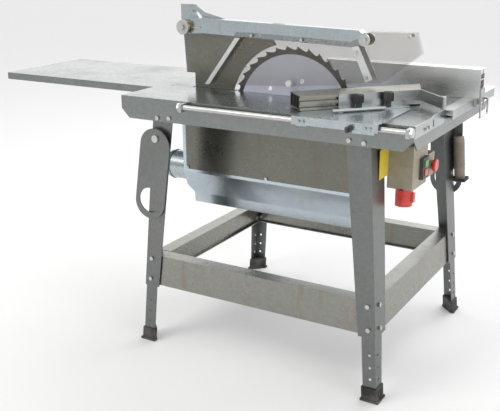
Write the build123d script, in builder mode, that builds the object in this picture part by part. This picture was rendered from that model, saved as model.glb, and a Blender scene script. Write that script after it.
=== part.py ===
from build123d import *
import math
import os

# Builder's table saw with outfeed extension. Millimetres, +Z up, floor at z = 0.
# +X is the operator's end, -X the outfeed, -Y the long side with the slide rail.

# ---- table
TABLE_L = 1002.0
TABLE_W = 728.0
TABLE_H = 850.0
SHEET = 3.0
SKIRT_H = 73.0
CHAMFER = 30.0
XT = TABLE_L / 2
YT = TABLE_W / 2
ZS = TABLE_H - SHEET
SKIRT_Z = TABLE_H - SKIRT_H

# ---- outfeed
OUT_L = 695.0
OUT_Y0 = -191.0
OUT_Y1 = 223.0
OUT_FOLD = 25.0

# ---- fits
TOUCH = 0.05
RUN = 0.05
GAP = 0.3
BOLT_CLEAR = 0.4

# ---- legs
LEG_T = 3.0
LEG_X_TOP = XT - 123.5
LEG_SPLAY_X = 58.0 / 733.0
LEG_SPLAY_Y = 29.0 / 733.0
LEG_BOTTOM = 205.0
LEG_FX_TOP = 76.0
LEG_FX_LOW = 56.0
LEG_FY_TOP = 97.0
LEG_FY_LOW = 78.0
FOOT_FLANGE = 43.0
FOOT_TOP = 330.0
FOOT_Z = 6.0
BOOT_H = 45.0
BOOT_WALL = 4.0
RAIL_TOP = 316.0
RAIL_H = 105.0
RAIL_FLANGE = 49.0
RAIL_LIP = 14.0

# ---- blade
BLADE_X = 4.0
BLADE_Y = -117.0
BLADE_Z = 784.0
BLADE_R = 225.0
BLADE_T = 3.2
TOOTH_T = 4.4
BORE_R = 15.0
TEETH = 36
FLANGE_R = 45.0
FLANGE_T = 6.0
KNIFE_T = 3.0
KNIFE_GAP = 7.0
KNIFE_REAR = -374.0

# ---- insert
INSERT_X0 = 31.0 - XT
INSERT_X1 = 262.0
INSERT_W = 52.0
LEDGE = 11.0
SLOT_HALF = 5.0

# ---- chip box
BOX_X0 = -395.0
BOX_X1 = 270.0
BOX_Y0 = -175.0
BOX_Y1 = -60.0
BOX_WALL = 2.5
BOX_TOP = ZS - 2.1
CHIP_SLANT = 30.0
PORT_R = 50.0
PORT_L = 83.0
PORT_Z = 565.0
PORT_Y = -115.0

# ---- motor
MOTOR_Y0 = -52.0
MOTOR_Y1 = 190.0
MOTOR_W = 190.0
MOTOR_R = 66.0
MOTOR_TOP = ZS - 4.0
STATOR_R = 55.0
ROTOR_R = 36.0
FAN_R = 50.0

# ---- guard
PIV_X = -399.0
PIV_Z = 1052.0
PIV_R = 5.0
ARM_W = 30.0
ARM_T = 2.5
HOOD_T = 3.0
STUD_R = 53.0

# ---- mitre
ROD_R = 8.0
ROD_Y = -388.0
ROD_Z = 837.0
ROD_X0 = -248.0
ROD_X1 = XT - 2.0
CAR_X0 = 148.0
CAR_X1 = 413.0
CAR_TOP = TABLE_H + 3.0
PROF_W = 90.0
PROF_H = 43.0
PROF_Z = CAR_TOP + 1.0
MIT_X = 332.6
MIT_Y = -150.0
MIT_ANG = 46.3

# ---- parallel fence
FEN_X0 = 13.0
FEN_X1 = XT + 39.0
FEN_Y = 105.0
FEN_W = 45.0
FEN_H = 92.0

# ---- handles
HAN_X = LEG_X_TOP - 20.5
HAN_Z = 723.0
HAN_T = 4.0
HAN_Y = YT + 12.0
HAN_DROP = 221.0
HAN_TOP_IN = 26.0
HAN_TOP_R = 58.0
HAN_LOW_R = 58.0
HAN_HOLE_R = 42.5

# ---- switch box
SW_X0 = XT - 118.0
SW_X1 = XT - 40.0
SW_Y0 = -245.0
SW_Y1 = -122.0
SW_Z0 = 630.0
SW_Z1 = 767.0

os.makedirs("parts", exist_ok=True)


def leg_x(z):
    return LEG_X_TOP + LEG_SPLAY_X * (SKIRT_Z - z)


def leg_y(z):
    return YT - SHEET + LEG_SPLAY_Y * (SKIRT_Z - z)


def box(x0, x1, y0, y1, z0, z1, mode=Mode.ADD):
    with Locations(((x0 + x1) / 2, (y0 + y1) / 2, (z0 + z1) / 2)):
        Box(x1 - x0, y1 - y0, z1 - z0, mode=mode)


def cyl_x(x0, x1, y, z, r, mode=Mode.ADD):
    with Locations(((x0 + x1) / 2, y, z)):
        Cylinder(r, abs(x1 - x0), rotation=(0, 90, 0), mode=mode)


def cyl_y(x, y0, y1, z, r, mode=Mode.ADD):
    with Locations((x, (y0 + y1) / 2, z)):
        Cylinder(r, abs(y1 - y0), rotation=(90, 0, 0), mode=mode)


def cyl_z(x, y, z0, z1, r, mode=Mode.ADD):
    with Locations((x, y, (z0 + z1) / 2)):
        Cylinder(r, abs(z1 - z0), mode=mode)


def plate_y(points, y0, y1, mode=Mode.ADD):
    """Outline in X and Z, from y0 to y1."""
    with BuildSketch(Plane.XZ.offset(-y0)) as sk:
        Polygon(*points, align=None)
    extrude(to_extrude=sk.sketch, amount=-(y1 - y0), mode=mode)


def plate_x(points, x0, x1, mode=Mode.ADD):
    """Outline in Y and Z, from x0 to x1."""
    with BuildSketch(Plane.YZ.offset(x0)) as sk:
        Polygon(*points, align=None)
    extrude(to_extrude=sk.sketch, amount=x1 - x0, mode=mode)


def plate_z(points, z0, z1, mode=Mode.ADD):
    """Outline in X and Y, from z0 to z1."""
    with BuildSketch(Plane.XY.offset(z0)) as sk:
        Polygon(*points, align=None)
    extrude(to_extrude=sk.sketch, amount=z1 - z0, mode=mode)


def hex_z(x, y, z0, z1, flats, mode=Mode.ADD):
    with BuildSketch(Plane.XY.offset(z0)) as sk:
        with Locations((x, y)):
            RegularPolygon(flats / 2, 6, major_radius=False)
    extrude(to_extrude=sk.sketch, amount=z1 - z0, mode=mode)


def hex_y(x, y0, y1, z, flats, mode=Mode.ADD):
    with BuildSketch(Plane.XZ.offset(-y0)) as sk:
        with Locations((x, z)):
            RegularPolygon(flats / 2, 6, major_radius=False)
    extrude(to_extrude=sk.sketch, amount=-(y1 - y0), mode=mode)


def hex_x(x0, x1, y, z, flats, mode=Mode.ADD):
    with BuildSketch(Plane.YZ.offset(x0)) as sk:
        with Locations((y, z)):
            RegularPolygon(flats / 2, 6, major_radius=False)
    extrude(to_extrude=sk.sketch, amount=x1 - x0, mode=mode)


def angle_loft(sx, sy, inset, t, stations, mode=Mode.ADD):
    """Splayed angle section; each station is (z, flange along X, flange along Y)."""
    sketches = []
    for z, fx, fy in stations:
        cx = leg_x(z) - inset
        cy = leg_y(z) - inset
        pts = [(cx, cy), (cx - fx, cy), (cx - fx, cy - t), (cx - t, cy - t), (cx - t, cy - fy), (cx, cy - fy)]
        with BuildSketch(Plane.XY.offset(z)) as sk:
            Polygon(*[(sx * px, sy * py) for px, py in pts], align=None)
        sketches.append(sk.sketch.faces()[0])
    loft(sections=sketches, ruled=True, mode=mode)


GROUPS = {}
# the row's origin is on the sole of the front-right foot
ORIGIN_X = leg_x(0) - FOOT_FLANGE / 2
ORIGIN_Y = FOOT_FLANGE / 2 - leg_y(0)


def save(part, label):
    """Adds a piece to its node; pieces that share a label are separate solids of one node."""
    GROUPS.setdefault(label, []).append(part.moved(Location((-ORIGIN_X, -ORIGIN_Y, 0))))


CORNERS = {"fr": (1, -1), "fl": (-1, -1), "br": (1, 1), "bl": (-1, 1)}
SKIRT_BOLTS = [(LEG_X_TOP - 20.5, SKIRT_Z + 11.0), (LEG_X_TOP - 66.5, SKIRT_Z + 14.0)]
LEG_BOLT_Z = [RAIL_TOP - 12.0, RAIL_TOP - 85.0]
BOLT_R = 4.0
LEG_BOLT_IN = 22.0

# ------------------------------------------------------------------ table
with BuildPart() as table_top:
    box(-XT, XT, -YT, YT, ZS, TABLE_H)
    skirt = [(-XT, ZS), (-XT, SKIRT_Z + CHAMFER), (-XT + CHAMFER, SKIRT_Z), (XT - CHAMFER, SKIRT_Z),
             (XT, SKIRT_Z + CHAMFER), (XT, ZS)]
    plate_y(skirt, -YT, -YT + SHEET)
    plate_y(skirt, YT - SHEET, YT)
    side = [(-YT + SHEET, ZS), (-YT + SHEET, SKIRT_Z + CHAMFER), (-YT + CHAMFER, SKIRT_Z),
            (YT - CHAMFER, SKIRT_Z), (YT - SHEET, SKIRT_Z + CHAMFER), (YT - SHEET, ZS)]
    plate_x(side, -XT, -XT + SHEET)
    plate_x(side, XT - SHEET, XT)
    box(INSERT_X0 - 6, INSERT_X1 + 4, BLADE_Y - INSERT_W / 2 - 6, BLADE_Y + INSERT_W / 2 + 6, ZS - 2, ZS)
    box(INSERT_X0 - GAP, INSERT_X1 + GAP, BLADE_Y - INSERT_W / 2 - GAP, BLADE_Y + INSERT_W / 2 + GAP,
        ZS, TABLE_H + 1, mode=Mode.SUBTRACT)
    box(INSERT_X0 + LEDGE, INSERT_X1 - LEDGE, BLADE_Y - INSERT_W / 2 + LEDGE, BLADE_Y + INSERT_W / 2 - LEDGE,
        ZS - 5, TABLE_H, mode=Mode.SUBTRACT)
    for sx, sy in CORNERS.values():
        for bx, bz in SKIRT_BOLTS:
            cyl_y(sx * bx, sy * (YT - 8), sy * (YT + 8), bz, BOLT_R + BOLT_CLEAR, mode=Mode.SUBTRACT)
save(table_top.part, "table_top")

with BuildPart() as table_insert:
    box(INSERT_X0, INSERT_X1, BLADE_Y - INSERT_W / 2, BLADE_Y + INSERT_W / 2, ZS, TABLE_H)
    half = math.sqrt(BLADE_R**2 - (TABLE_H - BLADE_Z) ** 2)
    box(KNIFE_REAR - 11, BLADE_X + half + 8, BLADE_Y - SLOT_HALF, BLADE_Y + SLOT_HALF,
        ZS - 1, TABLE_H + 1, mode=Mode.SUBTRACT)
save(table_insert.part, "table_insert")

with BuildPart() as outfeed_table:
    box(-XT - OUT_L, -XT, OUT_Y0, OUT_Y1, ZS, TABLE_H)
    box(-XT - OUT_L, -XT - TOUCH, OUT_Y0, OUT_Y0 + SHEET, TABLE_H - OUT_FOLD, ZS)
    box(-XT - OUT_L, -XT - TOUCH, OUT_Y1 - SHEET, OUT_Y1, TABLE_H - OUT_FOLD, ZS)
    box(-XT - OUT_L, -XT - OUT_L + SHEET, OUT_Y0, OUT_Y1, TABLE_H - OUT_FOLD, ZS)
    box(-XT - SHEET, -XT - TOUCH, OUT_Y0, OUT_Y1, TABLE_H - OUT_FOLD, ZS)
save(outfeed_table.part, "outfeed_table")

with BuildPart() as outfeed_ribs:
    for ry in (OUT_Y0 + 90, (OUT_Y0 + OUT_Y1) / 2, OUT_Y1 - 90):
        box(-XT - OUT_L + SHEET + TOUCH, -XT - SHEET - TOUCH, ry, ry + 25, ZS - 2 - TOUCH, ZS - TOUCH)
        box(-XT - OUT_L + SHEET + TOUCH, -XT - SHEET - TOUCH, ry, ry + 2, TABLE_H - OUT_FOLD + 2, ZS - 2)
save(outfeed_ribs.part, "outfeed_supports")

with BuildPart() as outfeed_gussets:
    for gy in (OUT_Y0 + SHEET + TOUCH, OUT_Y1 - 2 * SHEET - TOUCH):
        tri = [(-XT - TOUCH, SKIRT_Z + 6), (-XT - TOUCH, TABLE_H - OUT_FOLD - TOUCH),
               (-XT - 90, TABLE_H - OUT_FOLD - TOUCH), (-XT - 90, TABLE_H - OUT_FOLD - 12)]
        plate_y(tri, gy, gy + SHEET)
        box(-XT - SHEET - TOUCH, -XT - TOUCH, gy - 8, gy + 11, SKIRT_Z + 6, TABLE_H - OUT_FOLD - TOUCH)
save(outfeed_gussets.part, "outfeed_supports")

# ------------------------------------------------------------------ legs, feet, rails
for key, (sx, sy) in CORNERS.items():
    with BuildPart() as leg:
        angle_loft(sx, sy, 0, LEG_T, [(LEG_BOTTOM, LEG_FX_LOW, LEG_FY_LOW), (SKIRT_Z, LEG_FX_TOP, LEG_FY_TOP)])
        box(*sorted((sx * LEG_X_TOP, sx * (LEG_X_TOP - LEG_FX_TOP))),
            *sorted((sy * (YT - SHEET), sy * (YT - SHEET - LEG_T))), SKIRT_Z, ZS - 12)
        box(*sorted((sx * LEG_X_TOP, sx * (LEG_X_TOP - LEG_T))),
            *sorted((sy * (YT - SHEET), sy * (YT - SHEET - LEG_FY_TOP))), SKIRT_Z, ZS - 12)
        for bx, bz in SKIRT_BOLTS:
            cyl_y(sx * bx, sy * (YT - 20), sy * (YT + 8), bz, BOLT_R + BOLT_CLEAR, mode=Mode.SUBTRACT)
        for bz in LEG_BOLT_Z:
            bx = sx * (leg_x(bz) - LEG_BOLT_IN)
            cyl_y(bx, sy * (leg_y(bz) - 15), sy * (leg_y(bz) + 9), bz, BOLT_R + BOLT_CLEAR, mode=Mode.SUBTRACT)
            by = sy * (leg_y(bz) - LEG_BOLT_IN - 10)
            cyl_x(sx * (leg_x(bz) - 15), sx * (leg_x(bz) + 9), by, bz, BOLT_R + BOLT_CLEAR, mode=Mode.SUBTRACT)
        if (sx, sy) in ((-1, -1), (1, 1)):
            cyl_y(sx * HAN_X, sy * (YT - 20), sy * (YT + 8), HAN_Z, BOLT_R + 2 + BOLT_CLEAR, mode=Mode.SUBTRACT)
    save(leg.part, "legs")

    with BuildPart() as foot:
        angle_loft(sx, sy, LEG_T + TOUCH, LEG_T, [(FOOT_Z, FOOT_FLANGE, FOOT_FLANGE),
                                                  (FOOT_TOP, FOOT_FLANGE, FOOT_FLANGE + 17)])
        for bz in LEG_BOLT_Z:
            bx = sx * (leg_x(bz) - LEG_BOLT_IN)
            cyl_y(bx, sy * (leg_y(bz) - 15), sy * (leg_y(bz) + 9), bz, BOLT_R + BOLT_CLEAR, mode=Mode.SUBTRACT)
            by = sy * (leg_y(bz) - LEG_BOLT_IN - 10)
            cyl_x(sx * (leg_x(bz) - 15), sx * (leg_x(bz) + 9), by, bz, BOLT_R + BOLT_CLEAR, mode=Mode.SUBTRACT)
        for bz in (148.0, 108.0, 71.0):
            bx = sx * (leg_x(bz) - LEG_BOLT_IN)
            cyl_y(bx, sy * (leg_y(bz) - 15), sy * (leg_y(bz) + 9), bz, BOLT_R + BOLT_CLEAR, mode=Mode.SUBTRACT)
            by = sy * (leg_y(bz) - LEG_BOLT_IN)
            cyl_x(sx * (leg_x(bz) - 15), sx * (leg_x(bz) + 9), by, bz, BOLT_R + BOLT_CLEAR, mode=Mode.SUBTRACT)
    save(foot.part, "foot_angles")

    with BuildPart() as boot:
        faces = []
        for z in (0.0, BOOT_H):
            cx = leg_x(z) - LEG_T - TOUCH + BOOT_WALL
            cy = leg_y(z) - LEG_T - TOUCH + BOOT_WALL
            a = FOOT_FLANGE + 2 * BOOT_WALL
            pts = [(cx, cy), (cx - a, cy), (cx - a, cy - 12), (cx - 12, cy - a), (cx, cy - a)]
            with BuildSketch(Plane.XY.offset(z)) as sk:
                Polygon(*[(sx * px, sy * py) for px, py in pts], align=None)
            faces.append(sk.sketch.faces()[0])
        loft(sections=faces, ruled=True)
        cx = leg_x(0) - LEG_T + BOOT_WALL + 4
        cy = leg_y(0) - LEG_T + BOOT_WALL + 4
        a = FOOT_FLANGE + 2 * BOOT_WALL + 8
        lip = [(cx, cy), (cx - a, cy), (cx - a, cy - 15), (cx - 15, cy - a), (cx, cy - a)]
        plate_z([(sx * px, sy * py) for px, py in lip], 0, 7)
        faces = []
        for z in (FOOT_Z, BOOT_H + 6):
            cx = leg_x(z) - LEG_T
            cy = leg_y(z) - LEG_T
            fx = FOOT_FLANGE + 3
            t = LEG_T + 2 * TOUCH
            pts = [(cx, cy), (cx - fx, cy), (cx - fx, cy - t), (cx - t, cy - t), (cx - t, cy - fx), (cx, cy - fx)]
            with BuildSketch(Plane.XY.offset(z)) as sk:
                Polygon(*[(sx * px, sy * py) for px, py in pts], align=None)
            faces.append(sk.sketch.faces()[0])
        loft(sections=faces, ruled=True, mode=Mode.SUBTRACT)
    save(boot.part, "rubber_feet")

RAIL_LOW = RAIL_TOP - RAIL_H
IN = 2 * LEG_T + 2 * TOUCH


def rail_section(outer, flange):
    """Channel section against the splayed foot angles; outer(z) is the web's outer face."""
    hi = outer(RAIL_TOP) - IN
    lo = outer(RAIL_LOW) - IN
    return [(hi, RAIL_TOP), (hi - flange, RAIL_TOP), (hi - flange, RAIL_TOP - SHEET),
            (hi - SHEET, RAIL_TOP - SHEET), (lo - SHEET, RAIL_LOW + SHEET), (lo - RAIL_LIP, RAIL_LOW + SHEET),
            (lo - RAIL_LIP, RAIL_LOW), (lo, RAIL_LOW)]


SIDE_IN = leg_x(RAIL_TOP) - IN - SHEET - TOUCH
FRONT_IN = leg_y(RAIL_TOP) - IN - SHEET - TOUCH
for name, sy in (("rail_front", -1), ("rail_back", 1)):
    with BuildPart() as rail:
        plate_x([(sy * py, pz) for py, pz in rail_section(leg_y, RAIL_FLANGE)], -SIDE_IN, SIDE_IN)
        for sx in (-1, 1):
            for bz in LEG_BOLT_Z:
                bx = sx * (leg_x(bz) - LEG_BOLT_IN)
                cyl_y(bx, sy * (leg_y(bz) - 18), sy * (leg_y(bz) + 9), bz, BOLT_R + BOLT_CLEAR, mode=Mode.SUBTRACT)
    save(rail.part, "rails")
for name, sx in (("rail_left", -1), ("rail_right", 1)):
    with BuildPart() as rail:
        plate_y([(sx * px, pz) for px, pz in rail_section(leg_x, RAIL_FLANGE)], -FRONT_IN, FRONT_IN)
        for sy in (-1, 1):
            e0 = FRONT_IN - RAIL_FLANGE
            xs = sorted((sx * (SIDE_IN - TOUCH), sx * (SIDE_IN - RAIL_FLANGE - 12)))
            box(*xs, *sorted((sy * e0, sy * (FRONT_IN + 2))), RAIL_TOP - SHEET - 1, RAIL_TOP + 1, mode=Mode.SUBTRACT)
            xs = sorted((sx * (leg_x(RAIL_LOW) - IN - SHEET), sx * (leg_x(RAIL_LOW) - IN - 20)))
            box(*xs, *sorted((sy * (FRONT_IN - 16), sy * (FRONT_IN + 2))), RAIL_LOW - 1, RAIL_LOW + 5,
                mode=Mode.SUBTRACT)
            for bz in LEG_BOLT_Z:
                by = sy * (leg_y(bz) - LEG_BOLT_IN - 10)
                cyl_x(sx * (leg_x(bz) - 15), sx * (leg_x(bz) + 9), by, bz, BOLT_R + BOLT_CLEAR, mode=Mode.SUBTRACT)
    save(rail.part, "rails")

HEAD_H = 5.0
with BuildPart() as leg_bolts:
    for sx, sy in CORNERS.values():
        for bz in LEG_BOLT_Z:
            out = leg_y(bz - 8) + 0.1
            bx = sx * (leg_x(bz) - LEG_BOLT_IN)
            hex_y(bx, sy * out, sy * (out + HEAD_H), bz, 13)
            cyl_y(bx, sy * out, sy * (out - 19), bz, BOLT_R)
            hex_y(bx, sy * (leg_y(bz + 8) - IN - SHEET - 0.1), sy * (leg_y(bz + 8) - IN - SHEET - 6), bz, 13)
            out = leg_x(bz - 8) + 0.1
            by = sy * (leg_y(bz) - LEG_BOLT_IN - 10)
            hex_x(sx * out, sx * (out + HEAD_H), by, bz, 13)
            cyl_x(sx * out, sx * (out - 19), by, bz, BOLT_R)
            hex_x(sx * (leg_x(bz + 8) - IN - SHEET - 0.1), sx * (leg_x(bz + 8) - IN - SHEET - 6), by, bz, 13)
save(leg_bolts.part, "frame_bolts")

with BuildPart() as table_bolts:
    for sx, sy in CORNERS.values():
        for bx, bz in SKIRT_BOLTS:
            hex_y(sx * bx, sy * YT, sy * (YT + HEAD_H), bz, 13)
            cyl_y(sx * bx, sy * YT, sy * (YT - 13), bz, BOLT_R)
            back = YT - SHEET - LEG_T
            hex_y(sx * bx, sy * back, sy * (back - 6), bz, 13)
save(table_bolts.part, "frame_bolts")

# ------------------------------------------------------------------ chip box
def chip_outline(d):
    return [(BOX_X0 + d, BOX_TOP + (5 if d else 0)), (BOX_X0 + d, 508 + d), (BOX_X0 + 23 + d, 481 + d / 2),
            (BOX_X0 + 23 + d, 446 + d), (BOX_X1 - 20 - d, 446 + d), (BOX_X1 - 20 - d, 481),
            (BOX_X1 - d, 562), (BOX_X1 - d, BOX_TOP + (5 if d else 0))]


def chip_side(d):
    return [(BOX_Y0 + d, BOX_TOP + (5 if d else 0)), (BOX_Y0 + d, 562), (BOX_Y0 + CHIP_SLANT + d, 481),
            (BOX_Y0 + CHIP_SLANT + 4 + d, 440), (BOX_Y1 - CHIP_SLANT - 4 - d, 440),
            (BOX_Y1 - CHIP_SLANT - d, 481), (BOX_Y1 - d, 562), (BOX_Y1 - d, BOX_TOP + (5 if d else 0))]


with BuildPart() as chip_hollow:
    plate_y(chip_outline(BOX_WALL), BOX_Y0, BOX_Y1)
    plate_x(chip_side(BOX_WALL), BOX_X0 - 5, BOX_X1 + 5, mode=Mode.INTERSECT)
COVER_X0 = BOX_X0 + 14
COVER_X1 = BOX_X1 - 14
with BuildPart() as chip_casing:
    plate_y(chip_outline(0), BOX_Y0, BOX_Y1)
    plate_x(chip_side(0), BOX_X0 - 5, BOX_X1 + 5, mode=Mode.INTERSECT)
    add(chip_hollow.part, mode=Mode.SUBTRACT)
    box(COVER_X0 + 12, COVER_X1 - 12, BOX_Y0 - 1, BOX_Y0 + BOX_WALL + 1, 585, BOX_TOP - 22, mode=Mode.SUBTRACT)
    cyl_y(BLADE_X, BOX_Y1 - 8, BOX_Y1 + 4, BLADE_Z, BORE_R + 13, mode=Mode.SUBTRACT)
    cyl_x(BOX_X0 - 3, BOX_X0 + 8, PORT_Y, PORT_Z, PORT_R - 2.5, mode=Mode.SUBTRACT)
save(chip_casing.part, "chip_casing")

with BuildPart() as chip_cover:
    box(COVER_X0, COVER_X1, BOX_Y0 - BOX_WALL, BOX_Y0, 573, BOX_TOP - 8)
save(chip_cover.part, "chip_cover")

with BuildPart() as chip_screws:
    for x in (COVER_X0 + 7, (COVER_X0 + COVER_X1) / 2, COVER_X1 - 7):
        for z in (579, BOX_TOP - 14):
            hex_y(x, BOX_Y0 - BOX_WALL, BOX_Y0 - BOX_WALL - 5, z, 10)
save(chip_screws.part, "frame_bolts")

with BuildPart() as extraction_port:
    cyl_x(BOX_X0 - PORT_L, BOX_X0, PORT_Y, PORT_Z, PORT_R)
    cyl_x(BOX_X0 - 3, BOX_X0, PORT_Y, PORT_Z, PORT_R + 6)
    cyl_x(BOX_X0 - PORT_L - 1, BOX_X0 + 1, PORT_Y, PORT_Z, PORT_R - 2.5, mode=Mode.SUBTRACT)
save(extraction_port.part, "extraction_port")

# ------------------------------------------------------------------ motor and blade
def flat_top(y0, y1):
    box(BLADE_X - 120, BLADE_X + 120, y0 - 1, y1 + 1, MOTOR_TOP, MOTOR_TOP + 60, mode=Mode.SUBTRACT)


with BuildPart() as motor_housing:
    cyl_y(BLADE_X, MOTOR_Y0, MOTOR_Y1, BLADE_Z, MOTOR_R)
    for i in range(-6, 7):
        depth = 24 if abs(i) < 5 else 12
        box(BLADE_X + i * 11 - 1.5, BLADE_X + i * 11 + 1.5, MOTOR_Y0 + 12, MOTOR_Y1 - 12,
            BLADE_Z - MOTOR_R - depth, BLADE_Z - 20)
    for i in range(-3, 4):
        z = BLADE_Z + i * 13
        box(BLADE_X - MOTOR_W / 2, BLADE_X + MOTOR_W / 2, MOTOR_Y0 + 12, MOTOR_Y1 - 12, z - 1.5, z + 1.5)
    box(BLADE_X - MOTOR_W / 2, BLADE_X + MOTOR_W / 2, MOTOR_Y0 + 12, MOTOR_Y1 - 12, MOTOR_TOP - 12, MOTOR_TOP)
    flat_top(MOTOR_Y0, MOTOR_Y1)
    for fx in (BLADE_X - MOTOR_W / 2 + 14, BLADE_X + MOTOR_W / 2 - 14):
        box(fx - 14, fx + 14, MOTOR_Y0 + 12, MOTOR_Y1 - 12, MOTOR_TOP, ZS - TOUCH)
    cyl_y(BLADE_X, MOTOR_Y0 + 10, MOTOR_Y1 + 1, BLADE_Z, STATOR_R + RUN, mode=Mode.SUBTRACT)
    cyl_y(BLADE_X, MOTOR_Y0 - 1, MOTOR_Y1, BLADE_Z, BORE_R + RUN, mode=Mode.SUBTRACT)
save(motor_housing.part, "motor_housing")

with BuildPart() as motor_end:
    cyl_y(BLADE_X, MOTOR_Y1, MOTOR_Y1 + 8, BLADE_Z, MOTOR_R)
    flat_top(MOTOR_Y1, MOTOR_Y1 + 8)
    cyl_y(BLADE_X, MOTOR_Y1 - 1, MOTOR_Y1 + 9, BLADE_Z, BORE_R + RUN, mode=Mode.SUBTRACT)
save(motor_end.part, "motor_stator")

with BuildPart() as stator:
    cyl_y(BLADE_X, MOTOR_Y0 + 30, MOTOR_Y1 - 20, BLADE_Z, STATOR_R)
    cyl_y(BLADE_X, MOTOR_Y0 + 29, MOTOR_Y1 - 19, BLADE_Z, ROTOR_R + 1, mode=Mode.SUBTRACT)
save(stator.part, "motor_stator")

FAN_Y = MOTOR_Y1 + 8
with BuildPart() as fan_cover:
    cyl_y(BLADE_X, FAN_Y, FAN_Y + 36, BLADE_Z, MOTOR_R)
    flat_top(FAN_Y, FAN_Y + 36)
    cyl_y(BLADE_X, FAN_Y - 1, FAN_Y + 33, BLADE_Z, FAN_R + 5, mode=Mode.SUBTRACT)
    for i in range(-3, 4):
        w = math.sqrt((FAN_R - 2) ** 2 - (i * 12) ** 2)
        box(BLADE_X - w, BLADE_X + w, FAN_Y + 30, FAN_Y + 40, BLADE_Z + i * 12 - 3, BLADE_Z + i * 12 + 3,
            mode=Mode.SUBTRACT)
save(fan_cover.part, "motor_fan_cover")

SHAFT_END = BLADE_Y - BLADE_T / 2 - FLANGE_T - 14
with BuildPart() as shaft:
    cyl_y(BLADE_X, SHAFT_END, FAN_Y + 26, BLADE_Z, BORE_R)
    cyl_y(BLADE_X, MOTOR_Y0 + 34, MOTOR_Y1 - 24, BLADE_Z, ROTOR_R)
save(shaft.part, "rotor_shaft")

with BuildPart() as fan:
    cyl_y(BLADE_X, FAN_Y + 6, FAN_Y + 22, BLADE_Z, BORE_R + 7)
    with Locations((BLADE_X, FAN_Y + 14, BLADE_Z)):
        for k in range(8):
            Box(2 * FAN_R - 4, 14, 2.5, rotation=(0, k * 22.5, 0))
    cyl_y(BLADE_X, FAN_Y, FAN_Y + 30, BLADE_Z, BORE_R + RUN, mode=Mode.SUBTRACT)
save(fan.part, "motor_fan")

with BuildPart() as terminal_box:
    x = BLADE_X + MOTOR_W / 2
    box(x, x + 42, 30, 120, BLADE_Z - 55, BLADE_Z + 30)
    fillet(terminal_box.edges().filter_by(Axis.Y), 5)
save(terminal_box.part, "terminal_box")

with BuildPart() as motor_bolts:
    for fx in (BLADE_X - MOTOR_W / 2 + 14, BLADE_X + MOTOR_W / 2 - 14):
        for fy in (MOTOR_Y0 + 24, MOTOR_Y1 - 24):
            hex_z(fx, fy, MOTOR_TOP - 18, MOTOR_TOP - 12, 10)
save(motor_bolts.part, "frame_bolts")

FL0 = BLADE_Y + BLADE_T / 2
with BuildPart() as inner_flange:
    cyl_y(BLADE_X, FL0, FL0 + FLANGE_T, BLADE_Z, FLANGE_R)
    cyl_y(BLADE_X, FL0, FL0 + FLANGE_T + 12, BLADE_Z, BORE_R + 8)
    cyl_y(BLADE_X, FL0 - 1, FL0 + 30, BLADE_Z, BORE_R + RUN, mode=Mode.SUBTRACT)
save(inner_flange.part, "blade_flanges")
FL1 = BLADE_Y - BLADE_T / 2
with BuildPart() as outer_flange:
    cyl_y(BLADE_X, FL1 - FLANGE_T, FL1, BLADE_Z, FLANGE_R)
    cyl_y(BLADE_X, FL1 - 20, FL1 + 1, BLADE_Z, BORE_R + RUN, mode=Mode.SUBTRACT)
save(outer_flange.part, "blade_flanges")
with BuildPart() as arbor_nut:
    hex_y(BLADE_X, FL1 - FLANGE_T, FL1 - FLANGE_T - 12, BLADE_Z, 41)
    cyl_y(BLADE_X, FL1 - 20, FL1, BLADE_Z, BORE_R + RUN, mode=Mode.SUBTRACT)
save(arbor_nut.part, "arbor_nut")

with BuildPart() as saw_blade:
    rim = []
    root = BLADE_R - 11
    for k in range(TEETH):
        a = 2 * math.pi * k / TEETH
        step = 2 * math.pi / TEETH
        for rad, da in ((root, 0.0), (BLADE_R - 5, 0.42), (BLADE_R, 0.66), (root + 2, 0.70), (root, 0.82)):
            rim.append((BLADE_X + rad * math.cos(a + da * step), BLADE_Z + rad * math.sin(a + da * step)))
    plate_y(rim, FL1, FL0)
    cyl_y(BLADE_X, FL1 - 2, FL0 + 2, BLADE_Z, BORE_R + RUN, mode=Mode.SUBTRACT)
    for k in range(6):
        a = math.radians(60 * k + 15)
        cyl_y(BLADE_X + 120 * math.cos(a), FL1 - 2, FL0 + 2, BLADE_Z + 120 * math.sin(a), 7, mode=Mode.SUBTRACT)
save(saw_blade.part, "saw_blade")

# ------------------------------------------------------------------ riving knife
KN_R = BLADE_R + KNIFE_GAP + 1
KY0 = BLADE_Y - KNIFE_T / 2
KY1 = BLADE_Y + KNIFE_T / 2
arc = []
for deg in range(196, 105, -5):
    arc.append((BLADE_X + KN_R * math.cos(math.radians(deg)), BLADE_Z + KN_R * math.sin(math.radians(deg))))
with BuildPart() as riving_knife:
    plate_y([(KNIFE_REAR, 720), (KNIFE_REAR, 898), (-408, 898), (-417, 1038), (-419, 1052), (-413, 1066), (-399, 1072),
             (-385, 1068), (KNIFE_REAR, 1060), (-340, 1052), (-75, 1031), (arc[-1][0] + 2, arc[-1][1] + 3)] + arc[::-1], KY0, KY1)
    cyl_y(PIV_X, KY0 - 1, KY1 + 1, PIV_Z, PIV_R + RUN, mode=Mode.SUBTRACT)
save(riving_knife.part, "riving_knife")

with BuildPart() as knife_bracket:
    box(-366, -290, KY1, BOX_Y1 - BOX_WALL, 730, 790)
    box(-366, -290, KY0 - 8, KY0, 730, 790)
save(knife_bracket.part, "knife_clamp")
with BuildPart() as knife_bolts:
    for x in (-350, -306):
        hex_y(x, KY0 - 8, KY0 - 15, 760, 17)
save(knife_bolts.part, "frame_bolts")

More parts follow.
